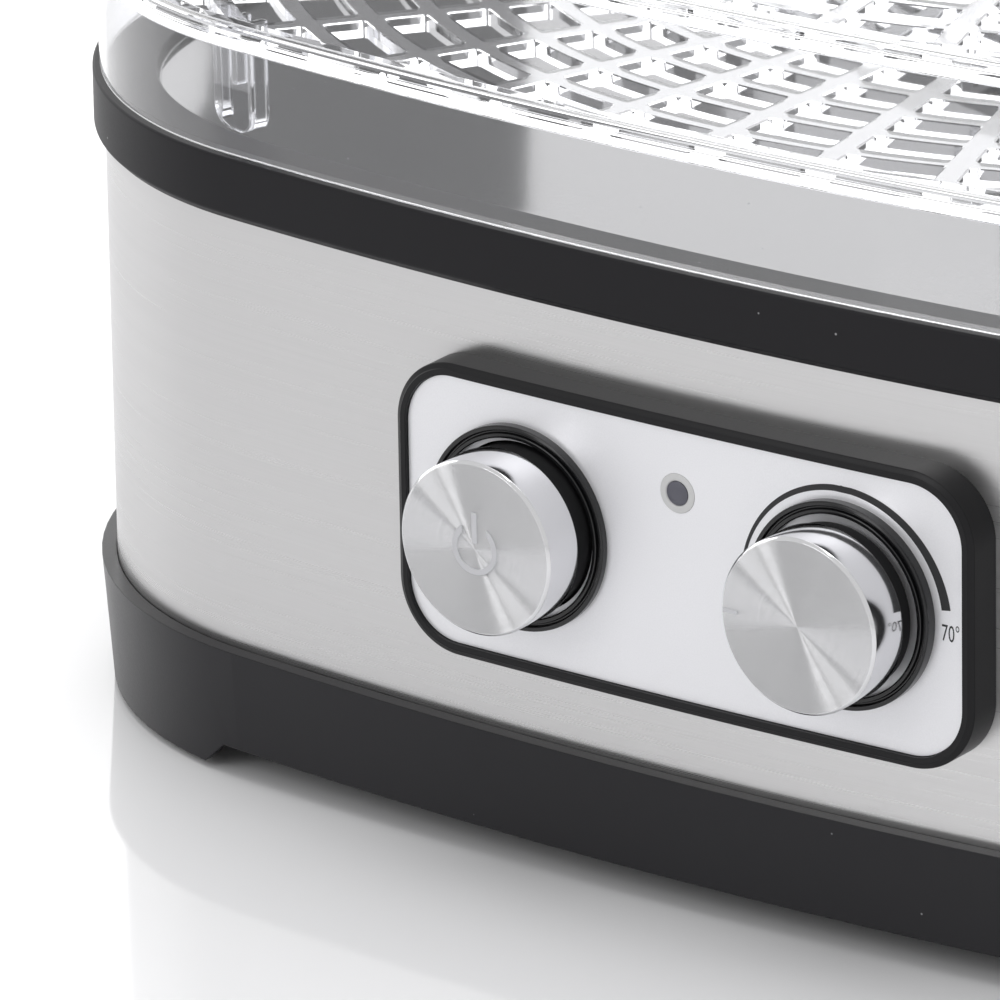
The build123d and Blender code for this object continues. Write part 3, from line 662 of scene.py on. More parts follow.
@dataclass(frozen=True)
class Metal:
    """Plain metal part: plated, galvanised, cast or drawn, with a mottled sheen."""

    name: str
    tone: Colour
    roughness: float = 0.3
    mottle: float = 0.1
    size: float = 8.0
    metallic: float = 1.0
    edge: float = 0.15

    def material(self) -> bpy.types.Material:
        """Builds the finish."""
        graph = Graph(self.name)
        place = graph.place()
        spots = graph.noise(place, 1000 / self.size, 3)
        fine = graph.noise(place, 1800, 2)
        colour = graph.blend(spots, shaded(self.tone, 1 - self.mottle), shaded(self.tone, 1 + self.mottle))
        return graph.principled({
            "Base Color": colour, "Metallic": self.metallic,
            "Roughness": self.roughness + (spots - 0.5) * self.mottle,
            "Normal": graph.bump(fine, 0.01 * MM, 0.4, graph.soft_edges(self.edge * MM))})


@dataclass(frozen=True)
class TurnedMetal:
    """Knob metal: a face cut with fine rings that lean its normals in and out, a polished edge and side."""

    name: str
    centre: tuple[float, float, float]
    face_radius: float
    face_depth: float
    tone: Colour = (0.80, 0.80, 0.815)
    spread: float = 1.5
    rings: float = 40000.0
    border: float = 0.1 * MM

    def material(self) -> bpy.types.Material:
        """Builds the finish; the rings are very fine noise on the distance from the knob's axis."""
        graph = Graph(self.name)
        parts = graph.node("ShaderNodeSeparateXYZ", {}, {0: graph.place(self.centre)})
        across, deep, up = (Value(graph, socket) for socket in parts.outputs)
        radius = (across * across + up * up) ** 0.5
        within = 1 - radius.above(self.face_radius, self.border)
        face = within * (1 - deep.above(self.face_depth, self.border))
        line = graph.node("ShaderNodeTexNoise", {"noise_dimensions": "1D"},
                          {"W": radius * self.rings, "Scale": 1.0, "Detail": 1.0, "Roughness": 0.7})
        groove = Value(graph, line.outputs[0]) - 0.5
        outwards = graph.node("ShaderNodeCombineXYZ", {}, {"X": across / radius, "Z": up / radius}).outputs[0]
        tilt = graph.node("ShaderNodeVectorMath", {"operation": "SCALE"},
                          {0: outwards, "Scale": groove * face * self.spread}).outputs[0]
        tilt = graph.node("ShaderNodeVectorTransform", {"vector_type": "NORMAL"}, {0: tilt}).outputs[0]
        flat = graph.node("ShaderNodeNewGeometry").outputs["Normal"]
        leaning = graph.node("ShaderNodeVectorMath", {"operation": "ADD"}, {0: flat, 1: tilt}).outputs[0]
        normal = graph.node("ShaderNodeVectorMath", {"operation": "NORMALIZE"}, {0: leaning}).outputs[0]
        colour = graph.blend(face, self.tone, shaded(self.tone, 0.93))
        return graph.principled({"Base Color": colour, "Metallic": 1.0, "Roughness": 0.08 + face * 0.08,
                                 "Normal": normal})


@dataclass(frozen=True)
class SilverPaint:
    """Satin silver lacquer with fine metal flake."""

    name: str
    tone: Colour = (0.85, 0.85, 0.875)

    def material(self) -> bpy.types.Material:
        """Builds the finish."""
        graph = Graph(self.name)
        place = graph.place()
        flake = graph.noise(place, 3500, 2, 0.7)
        broad = graph.noise(place, 20, 2)
        colour = graph.blend(flake, shaded(self.tone, 0.94), shaded(self.tone, 1.06))
        return graph.principled({
            "Base Color": colour, "Metallic": 0.55, "Roughness": 0.42 + (broad - 0.5) * 0.06,
            "Normal": graph.bump(flake, 0.004 * MM, 0.4)})


@dataclass(frozen=True)
class ClearPlastic:
    """Clear moulded plastic: slightly wavy, slightly blue where it is thick, and open to lamps."""

    name: str
    tone: Colour = (0.965, 0.968, 0.985)
    roughness: float = 0.02
    wave: float = 0.01
    open_to_lamps: float = 0.85
    refraction: float = 1.49
    edge: float = 0.0

    def material(self) -> bpy.types.Material:
        """Builds the finish."""
        graph = Graph(self.name)
        place = graph.place()
        wave = graph.noise(place, 60, 2)
        haze = graph.noise(place, 25, 3)
        under = graph.soft_edges(self.edge * MM) if self.edge else None
        glass = graph.node("ShaderNodeBsdfPrincipled", {}, {
            "Base Color": (*self.tone, 1.0), "Transmission Weight": 1.0, "IOR": self.refraction,
            "Roughness": self.roughness + haze * 0.03,
            "Normal": graph.bump(wave, self.wave * MM, 0.5, under)})
        clear = graph.node("ShaderNodeBsdfTransparent", {}, {"Color": (*self.tone, 1.0)})
        shadow = Value(graph, graph.node("ShaderNodeLightPath").outputs["Is Shadow Ray"])
        return graph.finished(graph.node("ShaderNodeMixShader", {}, {
            0: shadow * self.open_to_lamps, 1: glass.outputs[0], 2: clear.outputs[0]}).outputs[0])


# ---------------------------------------------------------------- the body's plan
@dataclass(frozen=True)
class BodyPlan:
    """Plan of the steel band: four crowned sides and four corner arcs, about the body's centre."""

    width: float
    depth: float
    centre_y: float
    crown: float = 0.949
    corner: float = 0.0852
    step: float = 0.003

    def corner_centre(self) -> tuple[float, float]:
        """Centre of the front right corner arc, where two circles about the crowns' centres meet."""
        ax, ay, bx = 0.0, self.crown - self.depth / 2, self.width / 2 - self.crown
        reach = self.crown - self.corner
        gap = math.hypot(bx - ax, ay)
        across = math.sqrt(reach ** 2 - (gap / 2) ** 2)
        return (ax + bx) / 2 + across * ay / gap, ay / 2 + across * bx / gap

    def turns(self) -> tuple[float, float]:
        """Half angles of the front crown and of the end crown."""
        x, y = self.corner_centre()
        return (math.atan2(x, self.crown - self.depth / 2 - y),
                math.atan2(-y, x - (self.width / 2 - self.crown)))

    def loop(self, step: Optional[float] = None) -> Loop:
        """The plan as a closed line in frame coordinates."""
        x, y = self.corner_centre()
        front, end = self.turns()
        quarter = math.pi / 2
        turn = quarter - front - end
        far_y, far_x = self.crown - self.depth / 2, self.width / 2 - self.crown
        arcs = [((0, far_y), self.crown, -quarter - front, 2 * front),
                ((x, y), self.corner, front - quarter, turn),
                ((far_x, 0), self.crown, -end, 2 * end),
                ((x, -y), self.corner, end, turn),
                ((0, -far_y), self.crown, quarter - front, 2 * front),
                ((-x, -y), self.corner, quarter + front, turn),
                ((-far_x, 0), self.crown, math.pi - end, 2 * end),
                ((-x, y), self.corner, math.pi + end, turn)]
        line = arc_loop(arcs, step or self.step)
        return Loop(line.points + np.array([0.0, self.centre_y]), line.normals)


def body_plan() -> BodyPlan:
    """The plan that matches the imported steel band."""
    low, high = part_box("steel_band")
    return BodyPlan(high.x - low.x, high.y - low.y, (low.y + high.y) / 2)


def raised(patch: Patch, height: float) -> Patch:
    """The patch moved up."""
    return patch.moved(lambda points: points + np.array([0.0, 0.0, height]))


# ---------------------------------------------------------------- base
@dataclass
class BaseShell:
    """Steel sleeve, rim with its deck, base band and grilles. Sizes in metres."""

    plan: BodyPlan
    sheet: float = 0.7 * MM
    fit: float = 0.15 * MM
    lap: float = 3.5 * MM
    lip: float = 2.0 * MM
    proud: float = 2.3 * MM
    ledge: float = 13.6 * MM
    well: float = 2.5 * MM
    deck: float = 2.5 * MM
    chamfer: float = 1.6 * MM
    recess: float = 1.5 * MM
    outlet: float = 58.0 * MM
    grille: float = 64.65 * MM

    def build(self) -> None:
        """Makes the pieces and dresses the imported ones."""
        self.steel_sleeve()
        self.deck_and_rim()
        band = Moulded("Base band plastic", (0.012, 0.0115, 0.014), Sheen.SATIN, dust=0.5, edge=0.4,
                       specular=0.28)
        dress(band.material(), "base_housing")
        grille = Moulded("Grille plastic", (0.02, 0.02, 0.022), Sheen.MATT, edge=0.3)
        dress(grille.material(), "air_grille", "intake_grille")
        dress(Moulded("Pad rubber", (0.02, 0.02, 0.02), Sheen.DULL, edge=0.4).material(), "rubber_pads")

    def steel_sleeve(self) -> None:
        """Closed sheet profile carried round the plan, its raw edges hidden in the rim and the base band."""
        low, high = (corner.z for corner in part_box("steel_band"))
        half = self.sheet / 2.2
        corners = [(-self.sheet, low), (0, low), (0, high), (-self.sheet, high)]
        profile = rounded_line([(*corner, half) for corner in corners])
        sleeve = make_piece("steel_sleeve", swept(self.plan.loop(), profile),
                            BrushedSteel("Brushed steel").material(), "base", ["steel_band"])
        self.cut_opening(sleeve)

    def cut_opening(self, sleeve: bpy.types.Object, inside: float = 1.0 * MM, start: float = 1.0 * MM,
                    reach: float = 20.0 * MM) -> None:
        """Cuts the opening behind the silver plate, through which the knobs' cores pass.

        Args:
            sleeve: The steel sleeve.
            inside: How far the opening's edge lies inside the plate's.
            start: Where the cut starts, measured back from the plate's front.
            reach: Where it ends, measured likewise.
        """
        panel = ControlPanel()
        outline = rounded_rectangle(panel.half_w, panel.half_h, panel.corner, 0.6 * MM).grown(-inside)
        mesh = bpy.data.meshes.new("opening")
        fill_mesh(mesh, plate(outline, [], -reach, -start).moved(panel.on_panel))
        merge_points(mesh)
        cutter = bpy.data.objects.new("opening", mesh)
        bpy.context.scene.collection.objects.link(cutter)
        cut = sleeve.modifiers.new("Opening", "BOOLEAN")
        cut.operation, cut.solver, cut.object = "DIFFERENCE", "EXACT", cutter
        bpy.context.view_layer.update()
        graph = bpy.context.evaluated_depsgraph_get()
        opened = bpy.data.meshes.new_from_object(sleeve.evaluated_get(graph), depsgraph=graph)
        sleeve.modifiers.remove(cut)
        opened.set_sharp_from_angle(angle=math.radians(30))
        sleeve.data = opened
        bpy.data.objects.remove(cutter)

    def deck_and_rim(self) -> None:
        """Rim, ledge and deck floor; the profile runs from the floor's underside out and back to its top."""
        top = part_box("top_deck")[1].z
        steel_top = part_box("steel_band")[1].z - self.lap
        floor, under = top - self.well, top - self.well - self.deck
        inner, groove = -self.sheet - self.fit - self.lip, steel_top + self.lap + self.fit
        edge = self.proud - self.ledge
        border = edge - 8 * MM
        profile = rounded_line([
            (border, under, 0), (inner, under, 0), (inner, steel_top - 5 * MM, 0.4 * MM),
            (-self.sheet - self.fit, steel_top - 5 * MM, 0.4 * MM), (-self.sheet - self.fit, groove, 0),
            (self.fit, groove, 0), (self.fit, steel_top, 0.1 * MM),
            (self.proud - self.chamfer, steel_top, 0.5 * MM),
            (self.proud, steel_top + self.chamfer, 1.0 * MM),
            (self.proud, top, 0.55 * MM), (edge, top, 0.5 * MM), (edge - 0.3 * MM, floor, 0.6 * MM),
            (border, floor, 0)], False)
        loop = self.plan.loop()
        middle = (0.0, self.plan.centre_y)
        hole_top, hole_low = (circle(r, 96, middle).points for r in (self.grille, self.outlet))
        seat = floor - self.recess
        parts = [swept(loop, profile, False),
                 sheet_with_holes(loop.grown(border), [hole_top], floor, True),
                 sheet_with_holes(loop.grown(border), [hole_low], under, False),
                 stacked([hole_top, hole_top, hole_low, hole_low], [floor, seat, seat, under])]
        parts += self.bosses(steel_top - 12 * MM, under)
        piece = make_piece("rim_and_deck", joined(parts), DeckPlastic("Rim and deck plastic").material(),
                           "base", ["top_deck"])
        self.mark_floor(piece.data, floor)

    def mark_floor(self, mesh: bpy.types.Mesh, height: float) -> None:
        """Stores 1 on the points of the deck's floor and 0 on all others."""
        points = np.zeros(len(mesh.vertices) * 3, np.float32)
        mesh.vertices.foreach_get("co", points)
        on_floor = np.abs(points.reshape(-1, 3)[:, 2] - height) < 0.05 * MM
        layer = mesh.attributes.new(DeckPlastic.LAYER, "FLOAT", "POINT")
        layer.data.foreach_set("value", on_floor.astype(np.float32))

    def bosses(self, low: float, high: float, radius: float = 5.0 * MM) -> list[Patch]:
        """Screw bosses under the deck, at the housing screws."""
        profile = [(0, low, 0), (radius, low, 0.4 * MM), (radius, high, 0), (0, high, 0)]
        return [turned(profile, 24, centre=spot) for spot in island_centres("housing_screws")]


def island_centres(node: str) -> list[tuple[float, float]]:
    """Plan centres of a node's separate solids, found by rounding its points to a coarse grid."""
    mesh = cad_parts[node].data
    points = np.zeros(len(mesh.vertices) * 3, np.float32)
    mesh.vertices.foreach_get("co", points)
    points = points.reshape(-1, 3)[:, :2]
    cells = np.unique(np.round(points / 0.02).astype(int), axis=0) * 0.02
    centres: list[np.ndarray] = []
    for cell in cells:
        if all(np.linalg.norm(cell - centre) > 0.03 for centre in centres):
            centres.append(cell)
    found = []
    for centre in centres:
        near = points[np.linalg.norm(points - centre, axis=1) < 0.02]
        found.append(tuple(float(v) for v in (near.min(0) + near.max(0)) / 2))
    return found


# ---------------------------------------------------------------- control panel
@dataclass
class ControlPanel:
    """Bezel, silver plate, its print, the knob rings and the lamp. Sizes in metres."""

    crown: float = 1.65
    corner: float = 11.7 * MM
    bezel: float = 2.6 * MM
    lift: float = 0.9 * MM
    collar: float = 14.7 * MM
    skirt: float = 7.3 * MM
    plate: float = 1.2 * MM
    web: float = 2.5 * MM
    ring: float = 21.2 * MM
    knob_x: float = 38.25 * MM
    ink: float = 0.03 * MM
    narrow: float = 0.62

    def __post_init__(self) -> None:
        """Reads the plate's place."""
        low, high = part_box("control_panel")
        self.front, self.middle = low.y, (low.z + high.z) / 2
        self.half_w, self.half_h = (high.x - low.x) / 2, (high.z - low.z) / 2

    def on_panel(self, points: np.ndarray) -> np.ndarray:
        """From (across, up, lift) to the frame: the lift is measured from the plate's crowned front."""
        across, up, lift = points.T
        back = self.crown - np.sqrt(self.crown ** 2 - across ** 2)
        return np.stack([across, self.front + back - lift, self.middle + up], -1)

    def upright(self, points: np.ndarray) -> np.ndarray:
        """From (across, up, lift) to the frame, square to the front, for round parts."""
        across, up, lift = points.T
        return np.stack([across, self.front - lift, self.middle + up], -1)

    def build(self) -> None:
        """Makes the pieces."""
        self.make_bezel()
        self.make_rings()
        self.make_lamp()
        self.make_print()
        dress(SilverPaint("Silver paint").material(), "control_panel")

    def make_bezel(self) -> None:
        """Deep frame on the steel with a flat face, a crease and a chamfer, and the web behind the plate."""
        gap, wide, deep = 0.05 * MM, self.bezel, -self.skirt
        back, behind = -self.plate - gap, -self.plate - self.web
        profile = rounded_line([
            (wide, deep, 0), (wide, self.lift - 0.75 * MM, 0.35 * MM),
            (wide - 1.0 * MM, self.lift - 0.22 * MM, 0.15 * MM),
            (wide - 1.2 * MM, self.lift, 0.1 * MM), (gap + 0.12 * MM, self.lift, 0.15 * MM), (gap, back, 0),
            (-2.8 * MM, back, 0), (-2.8 * MM, -self.collar, 0.3 * MM), (-0.8 * MM, -self.collar, 0.3 * MM),
            (-0.8 * MM, deep, 0)])
        loop = rounded_rectangle(self.half_w, self.half_h, self.corner, 0.6 * MM)
        holes = [circle(17.6 * MM, 64, (-self.knob_x, 0)).points, circle(5 * MM, 32, (self.knob_x, 0)).points]
        web = plate(loop.grown(-2.8 * MM), holes, behind, back)
        shape = joined([swept(loop, profile), web]).moved(self.on_panel)
        finish = Moulded("Bezel plastic", (0.012, 0.0118, 0.013), Sheen.SATIN, grain=0.008, dust=0.25,
                         specular=0.2)
        make_piece("panel_bezel", shape, finish.material(), "base", ["control_bezel"])

    def make_rings(self) -> None:
        """Two rings, each with two rounded ridges and a groove between them."""
        r, high, low, groove = self.ring, 1.5 * MM, -1.1 * MM, 0.7 * MM
        profile = [(r - 2.6 * MM, low, 0), (r, low, 0),
                   (r, high - 0.2 * MM, 0.3 * MM), (r - 0.25 * MM, high, 0.25 * MM),
                   (r - 1.0 * MM, high, 0.25 * MM), (r - 1.15 * MM, groove, 0.1 * MM),
                   (r - 1.5 * MM, groove, 0.1 * MM),
                   (r - 1.65 * MM, high, 0.25 * MM), (r - 2.4 * MM, high, 0.25 * MM),
                   (r - 2.6 * MM, high - 0.2 * MM, 0.2 * MM)]
        rings = [turned(profile, 128, True, (x, 0.0), 3) for x in (-self.knob_x, self.knob_x)]
        finish = Moulded("Ring plastic", (0.008, 0.008, 0.009), Sheen.GLOSS, grain=0.004)
        make_piece("knob_trim_rings", joined(rings).moved(self.upright), finish.material(), "base",
                   ["knob_rings"])

    def make_lamp(self) -> None:
        """Smoked lens, slightly domed, in a pale ring."""
        low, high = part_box("lamp_ring")
        up = (low.z + high.z) / 2 - self.middle
        radius, outer = 2.5 * MM, 4.05 * MM
        lens = turned([(0, -3 * MM, 0), (radius, -3 * MM, 0),
                       (radius, 0.15 * MM, 0.2 * MM), (1.4 * MM, 0.45 * MM, 1 * MM),
                       (0, 0.5 * MM, 0)], 48, centre=(0.0, up))
        ring = turned([(radius + 0.05 * MM, -2.9 * MM, 0), (outer, -2.9 * MM, 0),
                       (outer, 0.12 * MM, 0.1 * MM),
                       (radius + 0.3 * MM, 0.2 * MM, 0.1 * MM), (radius + 0.05 * MM, 0.0, 0.05 * MM)],
                      64, True, (0.0, up))
        smoked = Moulded("Smoked lens", (0.1, 0.1, 0.125), Sheen.SATIN, grain=0.002).material()
        pale = Moulded("Lamp ring plastic", (0.62, 0.62, 0.62), Sheen.SATIN, grain=0.004).material()
        make_piece("lamp_dome", lens.moved(self.upright), smoked, "base", ["lamp_lens"])
        make_piece("lamp_collar", ring.moved(self.upright), pale, "base", ["lamp_ring"])

    def make_print(self) -> None:
        """Temperature scale round the thermostat: a widening arc, a dot in a gap at the top and a figure."""
        start, end, inner, height = math.radians(180), math.radians(8), 22.9 * MM, self.ink
        share = np.linspace(0, 1, 97)
        angle = start + (end - start) * share
        keep = np.abs(np.degrees(angle) - 90) > 3.2
        wide = (0.55 + 1.5 * share) * MM
        parts = []
        for side in (share <= 0.5, share >= 0.5):
            chosen = keep & side
            a, w = angle[chosen], wide[chosen]
            rim = np.stack([np.full_like(w, inner), inner + w], 1)
            points = np.stack([self.knob_x + rim * np.cos(a)[:, None], rim * np.sin(a)[:, None],
                               np.full_like(rim, height)], -1).reshape(-1, 3)
            parts.append(Patch(points, grid_faces(len(a), 2, False, False)[:, ::-1]))
        dot = (self.knob_x, inner + 0.65 * MM)
        parts.append(turned([(0.7 * MM, height, 0), (0, height, 0)], 32, centre=dot))
        material = Moulded("Panel print", (0.02, 0.02, 0.022), Sheen.MATT, grain=0.002).material()
        make_piece("scale_print", joined(parts).moved(self.on_panel), material, "base")
        self.make_figure("70°", (self.knob_x + inner - 0.3 * MM, -2.9 * MM), 4.9 * MM, material)

    def make_figure(self, text: str, place: tuple[float, float], size: float,
                    material: bpy.types.Material) -> None:
        """Printed figure, filled letters laid on the plate.

        Args:
            text: What it says.
            place: Left end of its base line, across and up.
            size: Letter size.
            material: Its ink.
        """
        curve = bpy.data.curves.new("figure_outline", "FONT")
        curve.body, curve.size, curve.resolution_u = text, size, 3
        holder = bpy.data.objects.new("figure_outline", curve)
        bpy.context.scene.collection.objects.link(holder)
        source = bpy.data.meshes.new_from_object(holder)
        bpy.data.objects.remove(holder)
        source.calc_loop_triangles()
        points, tris = np.zeros(len(source.vertices) * 3), np.zeros(len(source.loop_triangles) * 3, int)
        source.vertices.foreach_get("co", points)
        source.loop_triangles.foreach_get("vertices", tris)
        points = points.reshape(-1, 3) * np.array([self.narrow, 1.0, 1.0]) + np.array([*place, self.ink])
        flat = Patch(self.on_panel(points), tris=tris.reshape(-1, 3))
        make_piece("scale_figure", flat, material, "base")


@dataclass
class Knob:
    """Turned cap of a knob, with its core, mark and rest. Sizes in metres."""

    panel: ControlPanel
    title: str
    body: str
    cap_node: str
    core_node: str
    mark_node: str
    radius: float = 18.0 * MM
    skin: float = 1.0 * MM
    sink: float = 0.02 * MM

    def build(self) -> None:
        """Makes the cap and dresses the rest."""
        low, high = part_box(self.cap_node)
        x = (low.x + high.x) / 2
        face, back = self.panel.front - low.y - self.sink, self.panel.front - high.y
        inner = self.radius - self.skin
        profile = [(0, face - self.skin, 0), (inner, face - self.skin, 0.2 * MM), (inner, back, 0.15 * MM),
                   (self.radius - 0.15 * MM, back, 0.15 * MM), (self.radius, back + 0.3 * MM, 0.2 * MM),
                   (self.radius, face - 0.55 * MM, 0.12 * MM), (self.radius - 0.5 * MM, face, 0.08 * MM),
                   (0, face, 0)]
        shape = turned(profile, 160, centre=(x, 0.0), steps=3).moved(self.panel.upright)
        metal = TurnedMetal(f"{self.title} metal", (x, 0.0, self.panel.middle), self.radius - 0.62 * MM,
                            low.y + 0.3 * MM)
        make_piece(f"{self.title}_cap", shape, metal.material(), self.body, [self.cap_node],
                   sharp=20)
        dress(Moulded(f"{self.title} core plastic", (0.008, 0.008, 0.009), Sheen.MATT, edge=0.2).material(),
              self.core_node)
        dress(Metal(f"{self.title} mark", (0.56, 0.56, 0.58), 0.3, edge=0.05).material(), self.mark_node)


# ---------------------------------------------------------------- trays and lid
@dataclass
class TrayStack:
    """Five stacking trays and the lid, clear mouldings on packed legs. Sizes in metres."""

    plan: BodyPlan
    count: int = 5
    grow: float = 1.0 * MM
    wall: float = 1.8 * MM
    lean: float = 0.3 * MM
    band: float = 4.8 * MM
    band_proud: float = 0.8 * MM
    border: float = 6.0 * MM
    lid_thick: float = 2.4 * MM
    lid_margin: float = 38.0 * MM
    vented: float = 48.0 * MM
    slots: SlotRings = SlotRings(16.3 * MM, 13 * MM, 4 * MM, 5 * MM, 32 * MM, 10, 0.9 * MM)
    vents: SlotRings = SlotRings(14 * MM, 11 * MM, 5 * MM, 5 * MM, 26 * MM, 8, 1.2 * MM)

    def build(self) -> None:
        """Makes every tray and the lid."""
        material = ClearPlastic("Clear tray plastic").material()
        leg_finish = ClearPlastic("Clear leg plastic", edge=0.5).material()
        shape = self.tray_shape()
        for number in range(1, self.count + 1):
            nodes = [f"tray_{number}_{part}" for part in ("skirt", "grid")]
            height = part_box(nodes[0])[0].z
            make_piece(f"tray_{number}_moulding", raised(shape, height), material, f"tray_{number}",
                       nodes, sharp=25, mirrored=False)
            dress(leg_finish, f"tray_{number}_legs")
        self.make_lid(material)

    def tray_shape(self) -> Patch:
        """One tray with its foot at height 0: wall profile and slotted floor."""
        low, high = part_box("tray_1_skirt")
        grid_low, grid_high = (corner.z - low.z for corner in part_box("tray_1_grid"))
        top = high.z - low.z
        band, inner, outer = top - self.band, self.grow - self.wall, self.grow
        proud = outer + self.band_proud
        profile = rounded_line([
            (inner, grid_low, 0), (inner + 0.05 * MM, 1.2 * MM, 0.5 * MM), (inner + 0.4 * MM, 0, 0.4 * MM),
            (outer - 0.2 * MM, 0, 0.35 * MM), (outer + self.lean, band, 0.35 * MM),
            (proud, band + 0.35 * MM, 0.3 * MM), (proud, top - 2.3 * MM, 0.15 * MM),
            (proud - 0.45 * MM, top - 2.05 * MM, 0.1 * MM), (proud - 0.45 * MM, top - 1.75 * MM, 0.1 * MM),
            (proud, top - 1.5 * MM, 0.15 * MM), (proud, top, 0.6 * MM), (inner, top, 0.5 * MM),
            (inner, grid_high, 0)], False, 3)
        loop = self.plan.loop()
        centre = np.array([0.0, self.plan.centre_y])
        edge = Loop(loop.grown(inner - self.border) - centre, loop.normals)
        holes = [line + centre for line in self.slots.lines(0.3, edge)]
        floor = plate(loop.grown(inner), holes, grid_low, grid_high, 0.25 * MM, 0.35 * MM, False)
        return joined([swept(loop, profile, False), floor])

    def make_lid(self, material: bpy.types.Material) -> None:
        """Lid: wall profile, a flat margin, a step up to the raised middle, and the vents."""
        low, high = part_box("lid_wall")[0].z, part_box("lid_plate")[1].z
        shoulder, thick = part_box("lid_wall")[1].z, self.lid_thick
        top = shoulder + thick
        inner, outer, rise = self.grow - self.wall, self.grow, self.grow - self.lid_margin
        profile = rounded_line([
            (rise - thick, high - thick, 0), (rise - thick, shoulder, 0.8 * MM), (inner, shoulder, 0.8 * MM),
            (inner + 0.1 * MM, low, 0.5 * MM), (outer - 0.2 * MM, low, 0.5 * MM), (outer, top, 1.6 * MM),
            (rise + 0.5 * MM, top, 0.8 * MM), (rise - 0.3 * MM, high, 0.9 * MM),
            (rise - thick, high, 0)], False)
        loop = self.plan.loop()
        centre = np.array([0.0, self.plan.centre_y])
        vents = [line + centre for line in self.vents.lines(self.vented)]
        middle = plate(loop.grown(rise - thick), vents, high - thick, high, 0.4 * MM, 0.2 * MM, False)
        make_piece("lid_moulding", joined([swept(loop, profile, False), middle]), material, "lid",
                   ["lid_wall", "lid_plate"], sharp=25, mirrored=False)


# ---------------------------------------------------------------- inside the base
@dataclass
class Workings:
    """Finishes of the parts inside the base and of the small fittings."""

    def build(self) -> None:
        """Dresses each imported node."""
        zinc = Metal("Zinc plate", (0.62, 0.63, 0.62), 0.3, 0.08, 3)
        dress(zinc.material(), "housing_screws", "grille_screws", "bracket_screws", "clamp_screws")
        dress(Metal("Galvanised sheet", (0.55, 0.57, 0.57), 0.42, 0.18, 9).material(),
              "motor_bracket", "heater_duct")
        dress(Metal("Laminated iron", (0.16, 0.15, 0.15), 0.5, 0.25, 2).material(), "fan_motor")
        dress(Metal("Ground shaft", (0.6, 0.6, 0.6), 0.2, 0.05, 2).material(),
              "motor_shaft", "thermostat_shaft")
        dress(Metal("Resistance wire", (0.35, 0.32, 0.3), 0.45, 0.2, 1.5).material(), "heater_coil")
        dress(Metal("Fuse case", (0.6, 0.6, 0.57), 0.35).material(), "thermal_fuse")
        dress(Metal("Mica board", (0.5, 0.46, 0.36), 0.5, 0.3, 4, metallic=0.15).material(), "heater_plates")
        dress(Metal("Blank label", (0.6, 0.6, 0.6), 0.4, 0.05).material(), "rating_plate")
        dress(Moulded("Fan nylon", (0.05, 0.05, 0.052), Sheen.MATT, edge=0.3).material(), "fan_impeller")
        dress(Moulded("Switch plastic", (0.03, 0.03, 0.033), Sheen.SATIN, edge=0.3).material(),
              "power_switch", "thermostat_body", "cord_clamp")
        dress(Moulded("Terminal plastic", (0.6, 0.57, 0.5), Sheen.SATIN, edge=0.3).material(),
              "terminal_block")
        dress(Moulded("Circuit board", (0.02, 0.12, 0.05), Sheen.SATIN, edge=0.1).material(), "lamp_board")
        dress(Moulded("Gland rubber", (0.018, 0.018, 0.018), Sheen.MATT, edge=0.4).material(), "cord_gland")


